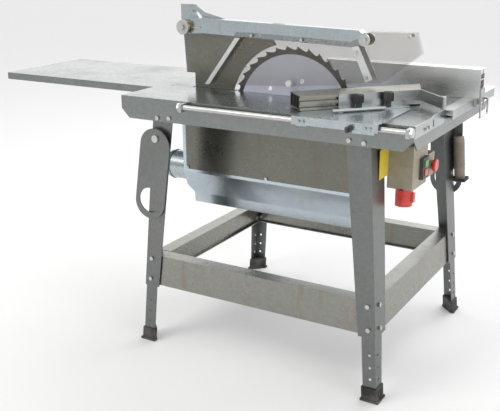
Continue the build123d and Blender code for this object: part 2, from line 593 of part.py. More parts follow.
# ------------------------------------------------------------------ guard arm and hood
AY0 = BLADE_Y - ARM_W / 2
AY1 = BLADE_Y + ARM_W / 2
ARM = [(-358, 1083), (231, 1069), (241, 1061), (241, 1032), (233, 1021), (221, 1017), (206, 1018),
       (-11, 1025), (-328, 1034), (-390, 1030), (-414, 1034), (-424, 1050), (-420, 1068), (-406, 1077)]
with BuildPart() as guard_arm:
    plate_y(ARM, AY0, AY1)
    inner = [(-430, 1000), (-430, 1074.5), (-406, 1074.5), (-358, 1080.4), (230, 1066.4), (236, 1060), (236, 1000)]
    plate_y(inner, AY0 + ARM_T, AY1 - ARM_T, mode=Mode.SUBTRACT)
    box(-73, -30, BLADE_Y - 6, BLADE_Y + 6, 1060, 1090, mode=Mode.SUBTRACT)
    cyl_y(PIV_X, AY0 - 1, AY1 + 1, PIV_Z, PIV_R + RUN, mode=Mode.SUBTRACT)
save(guard_arm.part, "guard_arm")

with BuildPart() as arm_pivot:
    cyl_y(PIV_X, AY0 - 22, AY1 + 16, PIV_Z, PIV_R)
    cyl_y(PIV_X, AY0 - 20, AY0 - 16, PIV_Z, 24)
    hex_y(PIV_X, AY0 - 20, AY0 - 27, PIV_Z, 17)
    hex_y(PIV_X, AY1 + 9, AY1 + 17, PIV_Z, 17)
    cyl_y(PIV_X, KY0 - TOUCH, AY0 + ARM_T + GAP, PIV_Z, 9)
    cyl_y(PIV_X, KY1 + TOUCH, AY1 - ARM_T - GAP, PIV_Z, 9)
save(arm_pivot.part, "arm_pivot")

COIL_R = 11.0
WIRE_R = 1.5
with BuildPart() as torsion_spring:
    for k in range(4):
        with Locations((PIV_X, AY0 - 14 + k * 3.6, PIV_Z)):
            Torus(COIL_R, WIRE_R + 0.35, rotation=(90, 0, 0))
    cyl_x(PIV_X + COIL_R - 2, PIV_X + 44, AY0 - 3.2, PIV_Z + 2, WIRE_R)
save(torsion_spring.part, "torsion_spring")

SEC0 = AY1 + 0.2
SEC1 = SEC0 + 3
with BuildPart() as sector_plate:
    plate_y([(-424, 1052), (-421, 1082), (-402, 1118), (-372, 1120), (-340, 1100), (-253, 1079), (-253, 1062),
             (-330, 1050), (-399, 1030)], SEC0, SEC1)
    cyl_y(PIV_X, SEC0 - 1, SEC1 + 1, PIV_Z, PIV_R + RUN, mode=Mode.SUBTRACT)
    band = []
    for deg in range(6, 84, 6):
        band.append((PIV_X + (STUD_R + 4.5) * math.cos(math.radians(deg)),
                     PIV_Z + (STUD_R + 4.5) * math.sin(math.radians(deg))))
    for deg in range(78, 0, -6):
        band.append((PIV_X + (STUD_R - 4.5) * math.cos(math.radians(deg)),
                     PIV_Z + (STUD_R - 4.5) * math.sin(math.radians(deg))))
    plate_y(band, SEC0 - 1, SEC1 + 1, mode=Mode.SUBTRACT)
save(sector_plate.part, "sector_plate")

STUD_X = PIV_X + STUD_R * math.cos(math.radians(73))
STUD_Z = PIV_Z + STUD_R * math.sin(math.radians(73))
with BuildPart() as leaf_plate:
    plate_y([(-439, 1124), (-439, 1073), (-416, 1040), (-384, 1040), (-376, 1073), (-376, 1124)], SEC1 + 0.4,
            SEC1 + 3.4)
    cyl_y(PIV_X, SEC1, SEC1 + 6, PIV_Z, PIV_R + RUN, mode=Mode.SUBTRACT)
save(leaf_plate.part, "stop_leaf")
with BuildPart() as stop_stud:
    cyl_y(STUD_X, SEC0 + GAP, SEC1 + 0.4, STUD_Z, 3.6)
    hex_y(STUD_X, SEC1 + 3.4, SEC1 + 9, STUD_Z, 10)
save(stop_stud.part, "stop_leaf")

HY0 = AY0 - 0.2 - HOOD_T
HY1 = AY1 + 0.2 + HOOD_T
HOOD = [(-324, 866), (-2, 883), (300, 914), (309, 916), (425, 1009), (405, 1071), (265, 1068), (250, 1056),
        (206, 1034), (-11, 1041), (-150, 1045), (-200, 1044)]
with BuildPart() as guard_hood:
    plate_y(HOOD, HY0, HY0 + HOOD_T)
    plate_y(HOOD, HY1 - HOOD_T, HY1)
    plate_y([(265, 1068), (265, 1065), (402, 1068), (421, 1010), (307, 919), (296, 917), (300, 914), (309, 916),
             (425, 1009), (405, 1071)], HY0 + HOOD_T, HY1 - HOOD_T)
save(guard_hood.part, "guard_hood")

with BuildPart() as hood_hangers:
    for y0, y1 in ((HY0 - 3, HY0), (HY1, HY1 + 3)):
        plate_y([(211, 1020), (232, 1024), (281, 926), (260, 916)], y0, y1)
save(hood_hangers.part, "hood_straps")
with BuildPart() as hood_bands:
    for y0, y1 in ((HY0 - 2, HY0), (HY1, HY1 + 2)):
        plate_y([(-324, 866), (-306, 867), (-184, 1026), (-202, 1026)], y0, y1)
save(hood_bands.part, "hood_straps")
with BuildPart() as hood_bolts:
    for x, z, lift in ((226, 1006, 3), (262, 932, 3), (-140, 1036, 0), (40, 1032, 0), (389, 1060, 0)):
        hex_y(x, HY0 - lift, HY0 - lift - 5, z, 10)
        hex_y(x, HY1 + lift, HY1 + lift + 5, z, 10)
    for x, z, r in ((251, 1042, 18), ):
        cyl_y(x, HY0, HY0 - 4, z, r)
        cyl_y(x, HY0 - 4, HY0 - 9, z, 8)
        cyl_y(x, HY1, HY1 + 4, z, r)
save(hood_bolts.part, "hood_bolts")
with BuildPart() as nylon_nut:
    cyl_y(-2, HY0, HY0 - 8, 893, 10)
    cyl_y(-2, HY1, HY1 + 8, 893, 10)
save(nylon_nut.part, "nylon_nuts")

# ------------------------------------------------------------------ slide rod and carriage
with BuildPart() as slide_rod:
    cyl_x(ROD_X0, ROD_X1 + 8, ROD_Y, ROD_Z, ROD_R)
    hex_x(ROD_X1, ROD_X1 + 8, ROD_Y, ROD_Z, 24)
    hex_x(ROD_X0 - 8, ROD_X0, ROD_Y, ROD_Z, 24)
save(slide_rod.part, "slide_rod")
with BuildPart() as rod_mounts:
    for x in (ROD_X0 + TOUCH, ROD_X1 - 10 - TOUCH):
        box(x, x + 10, ROD_Y - 13, -YT, ROD_Z - 14, ROD_Z + 11)
        cyl_x(x - 1, x + 11, ROD_Y, ROD_Z, ROD_R + RUN, mode=Mode.SUBTRACT)
save(rod_mounts.part, "rod_mounts")

CAR_Y0 = ROD_Y - 18
with BuildPart() as carriage_plate:
    box(CAR_X0, CAR_X1, CAR_Y0, -146, TABLE_H + GAP, CAR_TOP)
    box(CAR_X0, CAR_X1, CAR_Y0, CAR_Y0 + 3, ROD_Z - 8, TABLE_H + GAP)
    box(CAR_X0 + 190, CAR_X1 - 10, CAR_Y0, CAR_Y0 + 3, ROD_Z - 14, ROD_Z - 8)
save(carriage_plate.part, "carriage_plate")
with BuildPart() as carriage_blocks:
    for x in (CAR_X0 + 14, CAR_X1 - 48):
        box(x, x + 34, CAR_Y0 + 3, ROD_Y + 13, ROD_Z - 12, TABLE_H + GAP)
        cyl_x(x - 1, x + 35, ROD_Y, ROD_Z, ROD_R + RUN, mode=Mode.SUBTRACT)
save(carriage_blocks.part, "carriage_blocks")
with BuildPart() as carriage_bolts:
    for x in (CAR_X0 + 24, CAR_X0 + 38, CAR_X1 - 38, CAR_X1 - 24):
        hex_y(x, CAR_Y0, CAR_Y0 - 5, ROD_Z + 3, 9)
save(carriage_bolts.part, "carriage_blocks")
KNOB_X = 330.0
with BuildPart() as carriage_knob:
    cyl_y(KNOB_X, CAR_Y0 - 1 - GAP, CAR_Y0 - 14, ROD_Z - 2, 9)
    box(KNOB_X - 3, KNOB_X + 3, CAR_Y0 - 22, CAR_Y0 - 14, ROD_Z - 10, ROD_Z + 6)
    cyl_y(KNOB_X, CAR_Y0 - 1 - GAP, CAR_Y0 - GAP, ROD_Z - 2, 5)
save(carriage_knob.part, "carriage_knob")

# ------------------------------------------------------------------ mitre fence, laid out along local x
MIT = Plane(origin=(MIT_X, MIT_Y, 0), x_dir=(math.cos(math.radians(MIT_ANG)), math.sin(math.radians(MIT_ANG)), 0),
            z_dir=(0, 0, 1))
PR0 = -268.0
PR1 = 116.0


def mit(part, label):
    """Moves a part from the mitre's own axes to its place on the table."""
    save(MIT.location * part, label)


with BuildPart() as mitre_profile:
    plate_z([(PR0, 6), (PR1, 6), (PR1 + 42, 6 + PROF_W), (PR0, 6 + PROF_W)], PROF_Z, PROF_Z + PROF_H)
    for z in (PROF_Z + 12, PROF_Z + 31):
        box(PR0 - 1, PR1 + 60, 5, 11, z - 4.2, z + 4.2, mode=Mode.SUBTRACT)
        box(PR0 - 1, PR1 + 60, 8, 14, z - 7, z + 7, mode=Mode.SUBTRACT)
    for i in range(3):
        y0 = 19 + i * 26
        box(PR0 - 1, PR1 + 60, y0, y0 + 23, PROF_Z + 3, PROF_Z + PROF_H - 3, mode=Mode.SUBTRACT)
mit(mitre_profile.part, "mitre_profile")

with BuildPart() as mitre_bracket:
    box(-150, 60, -40, 2, CAR_TOP + GAP, CAR_TOP + GAP + 4)
    box(-150, PR1, 2, 5.7, CAR_TOP + GAP, PROF_Z + PROF_H)
    box(PR1 - 3, PR1, -137, 5.7, PROF_Z + 10, PROF_Z + PROF_H)
    box(60, PR1 - 3, -6, 2, PROF_Z + 10, PROF_Z + 14)
    cyl_z(0, -18, CAR_TOP, CAR_TOP + 10, 4, mode=Mode.SUBTRACT)
mit(mitre_bracket.part, "mitre_bracket")
with BuildPart() as tslot_bolts:
    for x in (-120, -40, 40):
        z = PROF_Z + 12
        box(x - 7, x + 7, 11.4, 13.7, z - 6.4, z + 6.4)
        cyl_y(x, 5.7, 11.4, z, 3.6)
mit(tslot_bolts.part, "mitre_bracket")
with BuildPart() as mitre_post:
    cyl_z(PR1 - 1.5, -143, PROF_Z + 10, PROF_Z + PROF_H + 3, 6)
mit(mitre_post.part, "mitre_bracket")
with BuildPart() as mitre_knob:
    cyl_z(-95, -20, CAR_TOP + GAP + 4 + GAP, CAR_TOP + GAP + 26, 5)
    cyl_z(-95, -20, CAR_TOP + GAP + 26, CAR_TOP + GAP + 44, 15)
    fillet(mitre_knob.edges().group_by(Axis.Z)[-1], 4)
mit(mitre_knob.part, "mitre_knob")
with BuildPart() as star_knob:
    cyl_z(0, -18, CAR_TOP + GAP, CAR_TOP + GAP + 30, 3.5)
    cyl_z(0, -18, CAR_TOP + GAP + 4 + GAP, CAR_TOP + GAP + 30, 6)
    cyl_z(0, -18, CAR_TOP + GAP + 30, CAR_TOP + GAP + 48, 12)
    for k in range(5):
        a = math.radians(72 * k)
        cyl_z(11 * math.cos(a), -18 + 11 * math.sin(a), CAR_TOP + GAP + 32, CAR_TOP + GAP + 46, 6)
mit(star_knob.part, "star_knob")
with BuildPart() as stop_rod:
    cyl_x(-190, -24, -49, CAR_TOP + GAP + 6.1, 5)
    box(-150, -140, -44, -38, CAR_TOP + GAP + 4, CAR_TOP + GAP + 8)
    box(-60, -50, -44, -38, CAR_TOP + GAP + 4, CAR_TOP + GAP + 8)
mit(stop_rod.part, "mitre_bracket")

# ------------------------------------------------------------------ end plate, guide rail, parallel fence
with BuildPart() as end_plate:
    plate_x([(-YT, 815), (-120, 815), (-120, 852), (-135, 855), (-213, 855), (-228, 850), (-YT, 850)],
            XT, XT + SHEET)
    box(XT - 1, XT + 5, -221, -213, 822, 842, mode=Mode.SUBTRACT)
save(end_plate.part, "end_plate")
with BuildPart() as end_bolts:
    for y in (-283, -256):
        hex_x(XT + SHEET, XT + SHEET + 5, y, 828, 10)
save(end_bolts.part, "frame_bolts")

RAIL_X = XT + 27.0
with BuildPart() as guide_rail:
    box(RAIL_X - 36, RAIL_X, -118, 330, TABLE_H, TABLE_H + SHEET)
    cyl_z(RAIL_X - 18, 330, TABLE_H, TABLE_H + SHEET, 18)
    box(RAIL_X - SHEET, RAIL_X, -118, 330, TABLE_H - 25, TABLE_H)
    for y in (-110, 100, 280):
        box(XT, RAIL_X - SHEET, y, y + 30, TABLE_H - 25, TABLE_H - 21)
        box(XT, XT + SHEET, y, y + 30, TABLE_H - 25, TABLE_H)
save(guide_rail.part, "guide_rail")
with BuildPart() as rail_knob:
    cyl_z(RAIL_X - 13, -28, TABLE_H - 26, TABLE_H - 8, 9)
    cyl_z(RAIL_X - 13, -28, TABLE_H - 8, TABLE_H - GAP, 4)
save(rail_knob.part, "rail_knob")

FZ = TABLE_H + SHEET + GAP
with BuildPart() as fence_profile:
    box(FEN_X0, FEN_X1, FEN_Y, FEN_Y + FEN_W, FZ, FZ + FEN_H - 3)
    box(FEN_X0 - 1, FEN_X1 + 1, FEN_Y + 3, FEN_Y + FEN_W - 3, FZ + 3, FZ + 26, mode=Mode.SUBTRACT)
    box(FEN_X0 - 1, FEN_X1 + 1, FEN_Y + 3, FEN_Y + FEN_W - 3, FZ + 29, FZ + 55, mode=Mode.SUBTRACT)
    box(FEN_X0 - 1, FEN_X1 + 1, FEN_Y + 3, FEN_Y + FEN_W - 3, FZ + 58, FZ + 74, mode=Mode.SUBTRACT)
    box(FEN_X0 - 1, FEN_X1 + 1, FEN_Y + 18, FEN_Y + 27, FZ + 70, FZ + 95, mode=Mode.SUBTRACT)
save(fence_profile.part, "fence_profile")
with BuildPart() as fence_clamp:
    box(RAIL_X + GAP, RAIL_X + 10, FEN_Y - 16, FEN_Y + 52, TABLE_H - 22, FZ - GAP)
    box(RAIL_X - 34, FEN_X1 + 1, FEN_Y + 3.3, FEN_Y + FEN_W - 3.3, FZ + 3.3, FZ + 12)
    box(FEN_X1 + 0.2, FEN_X1 + 5, FEN_Y, FEN_Y + FEN_W, FZ - 6, FZ + 30)
    box(RAIL_X + 6, FEN_X1 + 5, FEN_Y, FEN_Y + FEN_W, FZ - 20, FZ - 0.2)
save(fence_clamp.part, "fence_clamp")
LEV_X = FEN_X1 + 12
with BuildPart() as lever_ears:
    for y in (FEN_Y - 4, FEN_Y + FEN_W - 2):
        box(FEN_X1 + 5, LEV_X + 5, y, y + 6, FZ - 17, FZ - 3)
        cyl_y(LEV_X, y - 1, y + 7, FZ - 10, 3 + RUN, mode=Mode.SUBTRACT)
save(lever_ears.part, "fence_clamp")
with BuildPart() as fence_lever:
    cyl_y(LEV_X, FEN_Y - 22, FEN_Y + 64, FZ - 10, 3)
    cyl_z(LEV_X, FEN_Y - 19, FZ - 56, FZ - 10, 3)
    cyl_z(LEV_X, FEN_Y + 61, FZ - 56, FZ - 10, 3)
    cyl_y(LEV_X, FEN_Y - 22, FEN_Y + 64, FZ - 56, 3)
save(fence_lever.part, "fence_lever")

# ------------------------------------------------------------------ carry handles
for label, sx, sy, tilt in (("left", -1, -1, 9.0), ("right", 1, 1, 3.0)):
    t = math.radians(tilt)
    y_in = HAN_Y
    if sy < 0:
        plane = Plane(origin=(sx * HAN_X, -y_in, HAN_Z), x_dir=(math.cos(t), 0, -math.sin(t)), z_dir=(0, -1, 0))
    else:
        plane = Plane(origin=(sx * HAN_X, y_in, HAN_Z), x_dir=(-math.cos(t), 0, -math.sin(t)), z_dir=(0, 1, 0))
    side_slope = math.asin((HAN_LOW_R - HAN_TOP_R) / (HAN_DROP - HAN_TOP_IN))
    cs = math.cos(side_slope)
    sn = math.sin(side_slope)
    with BuildPart() as handle:
        with BuildSketch(plane) as sk:
            with Locations((0, -HAN_TOP_IN)):
                Circle(HAN_TOP_R)
            with Locations((0, -HAN_DROP)):
                Circle(HAN_LOW_R)
            Polygon((-HAN_TOP_R * cs, -HAN_TOP_IN + HAN_TOP_R * sn), (-HAN_LOW_R * cs, -HAN_DROP + HAN_LOW_R * sn),
                    (HAN_LOW_R * cs, -HAN_DROP + HAN_LOW_R * sn), (HAN_TOP_R * cs, -HAN_TOP_IN + HAN_TOP_R * sn),
                    align=None)
            Circle(BOLT_R + 2 + RUN, mode=Mode.SUBTRACT)
            with Locations((0, -HAN_DROP + 6)):
                Circle(HAN_HOLE_R, mode=Mode.SUBTRACT)
        extrude(amount=HAN_T)
    save(handle.part, "handle_" + label)

with BuildPart() as handle_pivots:
    for sx, sy in ((-1, -1), (1, 1)):
        wall = leg_y(HAN_Z - 14) + 0.1
        cyl_y(sx * HAN_X, sy * (YT - 18), sy * (HAN_Y + HAN_T + 6), HAN_Z, BOLT_R + 2)
        cyl_y(sx * HAN_X, sy * wall, sy * (HAN_Y - GAP), HAN_Z, 12)
        cyl_y(sx * HAN_X, sy * (HAN_Y + HAN_T + GAP), sy * (HAN_Y + HAN_T + 6), HAN_Z, 12)
        inner = leg_y(HAN_Z + 14) - LEG_T - 0.1
        hex_y(sx * HAN_X, sy * inner, sy * (inner - 7), HAN_Z, 19)
save(handle_pivots.part, "handle_pivots")

TUBE_R = 20.0
TUBE_Y = HAN_Y - TUBE_R - GAP
tube_plane = Plane(origin=(HAN_X + 68.8, TUBE_Y, 506), z_dir=(-math.sin(math.radians(5)), 0, math.cos(math.radians(5))))
with BuildPart() as tool_tube:
    with BuildSketch(tube_plane) as sk:
        Circle(TUBE_R - 1.5)
    extrude(amount=160)
    for k in range(9):
        with BuildSketch(tube_plane.offset(46 + k * 12)) as sk:
            Circle(TUBE_R)
        extrude(amount=6)
    with BuildSketch(tube_plane) as sk:
        Circle(TUBE_R)
    extrude(amount=18)
save(tool_tube.part, "tool_tube")
with BuildPart() as tool_strap:
    box(HAN_X + 44.5, HAN_X + 92.5, TUBE_Y - TUBE_R - 2.4, HAN_Y + HAN_T + 2.4, 509, 520)
    box(HAN_X + 46.5, HAN_X + 90.5, TUBE_Y - TUBE_R - GAP, HAN_Y + HAN_T + GAP, 508, 521, mode=Mode.SUBTRACT)
save(tool_strap.part, "tool_strap")

# ------------------------------------------------------------------ switchgear
with BuildPart() as switch_bracket:
    box(SW_X0 - SHEET, SW_X0, SW_Y0 + 10, SW_Y1 + 50, SW_Z0 + 10, ZS)
    box(SW_X0 - 45, SW_X0, SW_Y0 + 10, SW_Y1 + 50, ZS - SHEET, ZS)
save(switch_bracket.part, "switch_bracket")
with BuildPart() as switch_box:
    box(SW_X0, SW_X1 - 16, SW_Y0, SW_Y1, SW_Z0, SW_Z1)
    fillet(switch_box.edges().filter_by(Axis.X), 6)
save(switch_box.part, "switch_box")
with BuildPart() as switch_cover:
    box(SW_X1 - 16, SW_X1, SW_Y0, SW_Y1, SW_Z0, SW_Z1)
    fillet(switch_cover.edges().filter_by(Axis.X), 6)
save(switch_cover.part, "switch_box")
SF_Y0, SF_Y1, SF_Z0, SF_Z1 = -190.0, -140.0, 653.0, 717.0
with BuildPart() as switch_frame:
    box(SW_X1, SW_X1 + 12, SF_Y0, SF_Y1, SF_Z0, SF_Z1)
    for z in (SF_Z0 + 8, SF_Z0 + 35):
        box(SW_X1 + 3, SW_X1 + 13, SF_Y0 + 12, SF_Y1 - 12, z, z + 21, mode=Mode.SUBTRACT)
save(switch_frame.part, "switch_frame")
for name, z in (("stop_button", SF_Z0 + 8), ("start_button", SF_Z0 + 35)):
    with BuildPart() as button:
        box(SW_X1 + 8, SW_X1 + 15, SF_Y0 + 12 + GAP, SF_Y1 - 12 - GAP, z + GAP, z + 21 - GAP)
        fillet(button.faces().sort_by(Axis.X)[-1].edges(), 1.5)
    save(button.part, name)
with BuildPart() as estop_box:
    box(SW_X0 + 12, SW_X1, SW_Y1, SW_Y1 + 64, 640, 713)
    fillet(estop_box.edges().filter_by(Axis.X), 6)
    cyl_x(SW_X1, SW_X1 + 6, SW_Y1 + 30, 676, 15)
    cyl_x(SW_X1 - 2, SW_X1 + 7, SW_Y1 + 30, 676, 8 + RUN, mode=Mode.SUBTRACT)
save(estop_box.part, "switch_box")
with BuildPart() as estop_button:
    cyl_x(SW_X1 + 3, SW_X1 + 12, SW_Y1 + 30, 676, 8)
    cyl_x(SW_X1 + 12, SW_X1 + 21, SW_Y1 + 30, 676, 20)
    fillet(estop_button.edges().group_by(Axis.X)[-1], 4)
save(estop_button.part, "estop_button")
INL_X, INL_Y = SW_X0 + 44.0, -215.0
with BuildPart() as inlet_shell:
    cyl_z(INL_X, INL_Y, 577, SW_Z0, 26)
    cyl_z(INL_X, INL_Y, 574, SW_Z0 - 8, 22.5, mode=Mode.SUBTRACT)
    box(INL_X + 24, INL_X + 32, INL_Y - 8, INL_Y + 8, 590, 618)
    box(INL_X - 8, INL_X + 8, INL_Y - 33, INL_Y - 24, 600, SW_Z0)
save(inlet_shell.part, "mains_inlet")
with BuildPart() as inlet_pins:
    for k in range(5):
        a = math.radians(72 * k)
        cyl_z(INL_X + 12 * math.cos(a), INL_Y + 12 * math.sin(a), 588, SW_Z0 - 8, 3)
save(inlet_pins.part, "mains_inlet")
with BuildPart() as warning_plate:
    box(leg_x(672) + 0.3, leg_x(672) + 1.3, -316, -249, 672, 760)
save(warning_plate.part, "warning_plate")

for label, pieces in GROUPS.items():
    node = pieces[0] if len(pieces) == 1 else Compound(children=pieces)
    node.label = label
    export_step(node, "parts/" + label + ".step")
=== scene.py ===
"""Builder's table saw: looks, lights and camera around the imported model."""

import logging
import math
from dataclasses import dataclass
from enum import Enum
from typing import Callable, Dict, List, Sequence, Tuple

import bmesh
import bpy
from mathutils import Euler, Matrix, Vector


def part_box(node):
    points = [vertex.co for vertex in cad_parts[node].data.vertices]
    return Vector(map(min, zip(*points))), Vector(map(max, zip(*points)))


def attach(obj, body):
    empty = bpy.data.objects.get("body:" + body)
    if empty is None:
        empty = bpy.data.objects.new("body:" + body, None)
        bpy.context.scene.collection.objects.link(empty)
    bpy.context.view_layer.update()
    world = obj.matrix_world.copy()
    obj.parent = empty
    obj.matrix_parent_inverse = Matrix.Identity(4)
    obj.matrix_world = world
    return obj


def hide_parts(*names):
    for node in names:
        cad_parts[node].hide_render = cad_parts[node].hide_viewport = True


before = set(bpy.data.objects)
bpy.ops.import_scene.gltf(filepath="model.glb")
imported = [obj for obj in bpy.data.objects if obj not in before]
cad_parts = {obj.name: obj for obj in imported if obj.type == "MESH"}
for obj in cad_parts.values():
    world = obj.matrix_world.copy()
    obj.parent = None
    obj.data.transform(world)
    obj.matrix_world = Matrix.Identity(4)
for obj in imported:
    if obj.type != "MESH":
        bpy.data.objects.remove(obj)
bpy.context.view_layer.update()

LOG = logging.getLogger("table_saw")
Colour = Tuple[float, float, float]
Point = Tuple[float, float, float]

# Sockets of the colour Mix node, which share their names with its other types.
MIX_FACTOR, MIX_A, MIX_B, MIX_RESULT = 0, 6, 7, 2
WHITE_DUST = (0.62, 0.63, 0.62, 1.0)
BARE_SCRATCH = (0.66, 0.68, 0.69, 1.0)
GREY_DUST = (0.55, 0.53, 0.50, 1.0)
SHEET_DUST = (0.60, 0.58, 0.54, 1.0)
BLADE_DUST = (0.30, 0.28, 0.25, 1.0)
BODY_RING = (0.76, 0.79, 0.90, 1.0)
RIM_RING = (0.10, 0.095, 0.09, 1.0)


def middle(node: str) -> Vector:
    """Gives the middle of a CAD node's box."""
    low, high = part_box(node)
    return (low + high) / 2


BLADE_AT: Vector = middle("arbor_nut")
PIVOT_AT: Vector = middle("arm_pivot")


class Axis(Enum):
    """Turn that lays a piece made along Z along another axis."""

    X = (0.0, math.pi / 2, 0.0)
    Y = (math.pi / 2, 0.0, 0.0)


# --------------------------------------------------------------------------
# Shader helpers
# --------------------------------------------------------------------------
class Graph:
    """A small builder around one node tree."""

    def __init__(self, tree: bpy.types.NodeTree) -> None:
        """Keeps the tree that nodes are added to.

        Args:
            tree: node tree of a material or a group.
        """
        self.tree = tree

    def add(self, kind: str, **settings: object) -> bpy.types.Node:
        """Adds a node.

        Args:
            kind: node type name.
            settings: attributes to set on the node.

        Returns:
            The new node.
        """
        node = self.tree.nodes.new(kind)
        for name, value in settings.items():
            setattr(node, name, value)
        return node

    def link(self, source: bpy.types.NodeSocket, target: bpy.types.NodeSocket) -> None:
        """Joins an output to an input."""
        self.tree.links.new(source, target)

    def feed(self, target: bpy.types.NodeSocket, value: object) -> None:
        """Links a socket, or sets a plain value.

        Args:
            target: input socket.
            value: output socket, number or colour.
        """
        if isinstance(value, bpy.types.NodeSocket):
            self.link(value, target)
        else:
            target.default_value = value

    def noise(self, vector: bpy.types.NodeSocket, scale: object, detail: float = 4.0,
              rough: float = 0.55) -> bpy.types.NodeSocket:
        """Adds a noise texture.

        Args:
            vector: coordinates.
            scale: number or socket.
            detail: octaves.
            rough: roughness of the octaves.

        Returns:
            The factor output.
        """
        node = self.add("ShaderNodeTexNoise")
        self.link(vector, node.inputs["Vector"])
        self.feed(node.inputs["Scale"], scale)
        node.inputs["Detail"].default_value = detail
        node.inputs["Roughness"].default_value = rough
        return node.outputs["Fac"]

    def remap(self, value: bpy.types.NodeSocket, low: float, high: float, to_low: object = 0.0,
              to_high: object = 1.0) -> bpy.types.NodeSocket:
        """Stretches a value from one range to another, clamped.

        Args:
            value: input.
            low: start of the input range.
            high: end of the input range.
            to_low: result at low.
            to_high: result at high.

        Returns:
            The mapped value.
        """
        node = self.add("ShaderNodeMapRange")
        self.link(value, node.inputs["Value"])
        node.inputs["From Min"].default_value = low
        node.inputs["From Max"].default_value = high
        self.feed(node.inputs["To Min"], to_low)
        self.feed(node.inputs["To Max"], to_high)
        return node.outputs["Result"]

    def math(self, how: str, a: object, b: object = 0.0) -> bpy.types.NodeSocket:
        """Adds a math node.

        Args:
            how: operation name.
            a: first value.
            b: second value.

        Returns:
            The result.
        """
        node = self.add("ShaderNodeMath", operation=how)
        self.feed(node.inputs[0], a)
        self.feed(node.inputs[1], b)
        return node.outputs[0]

    def mix(self, factor: object, a: object, b: object) -> bpy.types.NodeSocket:
        """Mixes two colours.

        Args:
            factor: share of b.
            a: first colour.
            b: second colour.

        Returns:
            The mixed colour.
        """
        node = self.add("ShaderNodeMix", data_type="RGBA")
        self.feed(node.inputs[MIX_FACTOR], factor)
        self.feed(node.inputs[MIX_A], a)
        self.feed(node.inputs[MIX_B], b)
        return node.outputs[MIX_RESULT]

    def stretch(self, vector: bpy.types.NodeSocket, scale: Point) -> bpy.types.NodeSocket:
        """Scales coordinates along each axis.

        Args:
            vector: coordinates.
            scale: factor along X, Y and Z.

        Returns:
            The scaled coordinates.
        """
        node = self.add("ShaderNodeMapping")
        self.link(vector, node.inputs["Vector"])
        node.inputs["Scale"].default_value = scale
        return node.outputs["Vector"]


class EffectGroup:
    """A shared effect as a shader node group."""

    def __init__(self, name: str, inputs: Sequence[Tuple[str, str, float]], outputs: Sequence[str],
                 build: Callable[[Graph, bpy.types.Node, bpy.types.Node], None]) -> None:
        """Builds the group once.

        Args:
            name: group name.
            inputs: name, socket type and default of each input.
            outputs: names of the value outputs.
            build: fills the group.
        """
        self.tree = bpy.data.node_groups.new(name, "ShaderNodeTree")
        self.tree.interface.new_socket("Vector", in_out="INPUT", socket_type="NodeSocketVector")
        for label, kind, default in inputs:
            socket = self.tree.interface.new_socket(label, in_out="INPUT", socket_type=kind)
            socket.default_value = default
        for label in outputs:
            self.tree.interface.new_socket(label, in_out="OUTPUT", socket_type="NodeSocketFloat")
        graph = Graph(self.tree)
        build(graph, graph.add("NodeGroupInput"), graph.add("NodeGroupOutput"))

    def place(self, graph: Graph, vector: bpy.types.NodeSocket, **values: float) -> bpy.types.Node:
        """Places the group in a material.

        Args:
            graph: the material's graph.
            vector: object coordinates.
            values: inputs, with spaces written as underscores.

        Returns:
            The group node.
        """
        node = graph.add("ShaderNodeGroup", node_tree=self.tree)
        graph.link(vector, node.inputs["Vector"])
        for label, value in values.items():
            node.inputs[label.replace("_", " ")].default_value = value
        return node


def spangle_nodes(g: Graph, start: bpy.types.Node, end: bpy.types.Node) -> None:
    """Zinc crystals: flat cells of slightly different tone with soft streaks over them.

    Args:
        g: the group's graph.
        start: group input node.
        end: group output node.
    """
    warp = g.add("ShaderNodeTexNoise")
    g.link(start.outputs["Vector"], warp.inputs["Vector"])
    g.link(start.outputs["Scale"], warp.inputs["Scale"])
    warp.inputs["Detail"].default_value = 3.0
    shift = g.add("ShaderNodeVectorMath", operation="SCALE")
    g.link(warp.outputs["Color"], shift.inputs[0])
    shift.inputs["Scale"].default_value = 0.006
    moved = g.add("ShaderNodeVectorMath", operation="ADD")
    g.link(start.outputs["Vector"], moved.inputs[0])
    g.link(shift.outputs["Vector"], moved.inputs[1])
    cells = g.add("ShaderNodeTexVoronoi")
    g.link(moved.outputs["Vector"], cells.inputs["Vector"])
    g.link(start.outputs["Scale"], cells.inputs["Scale"])
    split = g.add("ShaderNodeSeparateColor")
    g.link(cells.outputs["Color"], split.inputs[0])
    fine = g.noise(start.outputs["Vector"], g.math("MULTIPLY", start.outputs["Scale"], 6.0), 3.0)
    slow = g.noise(start.outputs["Vector"], g.math("MULTIPLY", start.outputs["Scale"], 0.06), 2.0)
    tone = g.math("ADD", g.math("MULTIPLY", split.outputs[0], 0.25), g.math("MULTIPLY", fine, 0.45))
    g.link(g.math("ADD", tone, g.math("MULTIPLY", slow, 0.30)), end.inputs["Tone"])
    g.link(split.outputs[1], end.inputs["Facet"])
    g.link(slow, end.inputs["Wave"])
    g.link(g.math("ADD", g.math("MULTIPLY", split.outputs[2], 0.4), g.math("MULTIPLY", fine, 0.6)),
           end.inputs["Relief"])


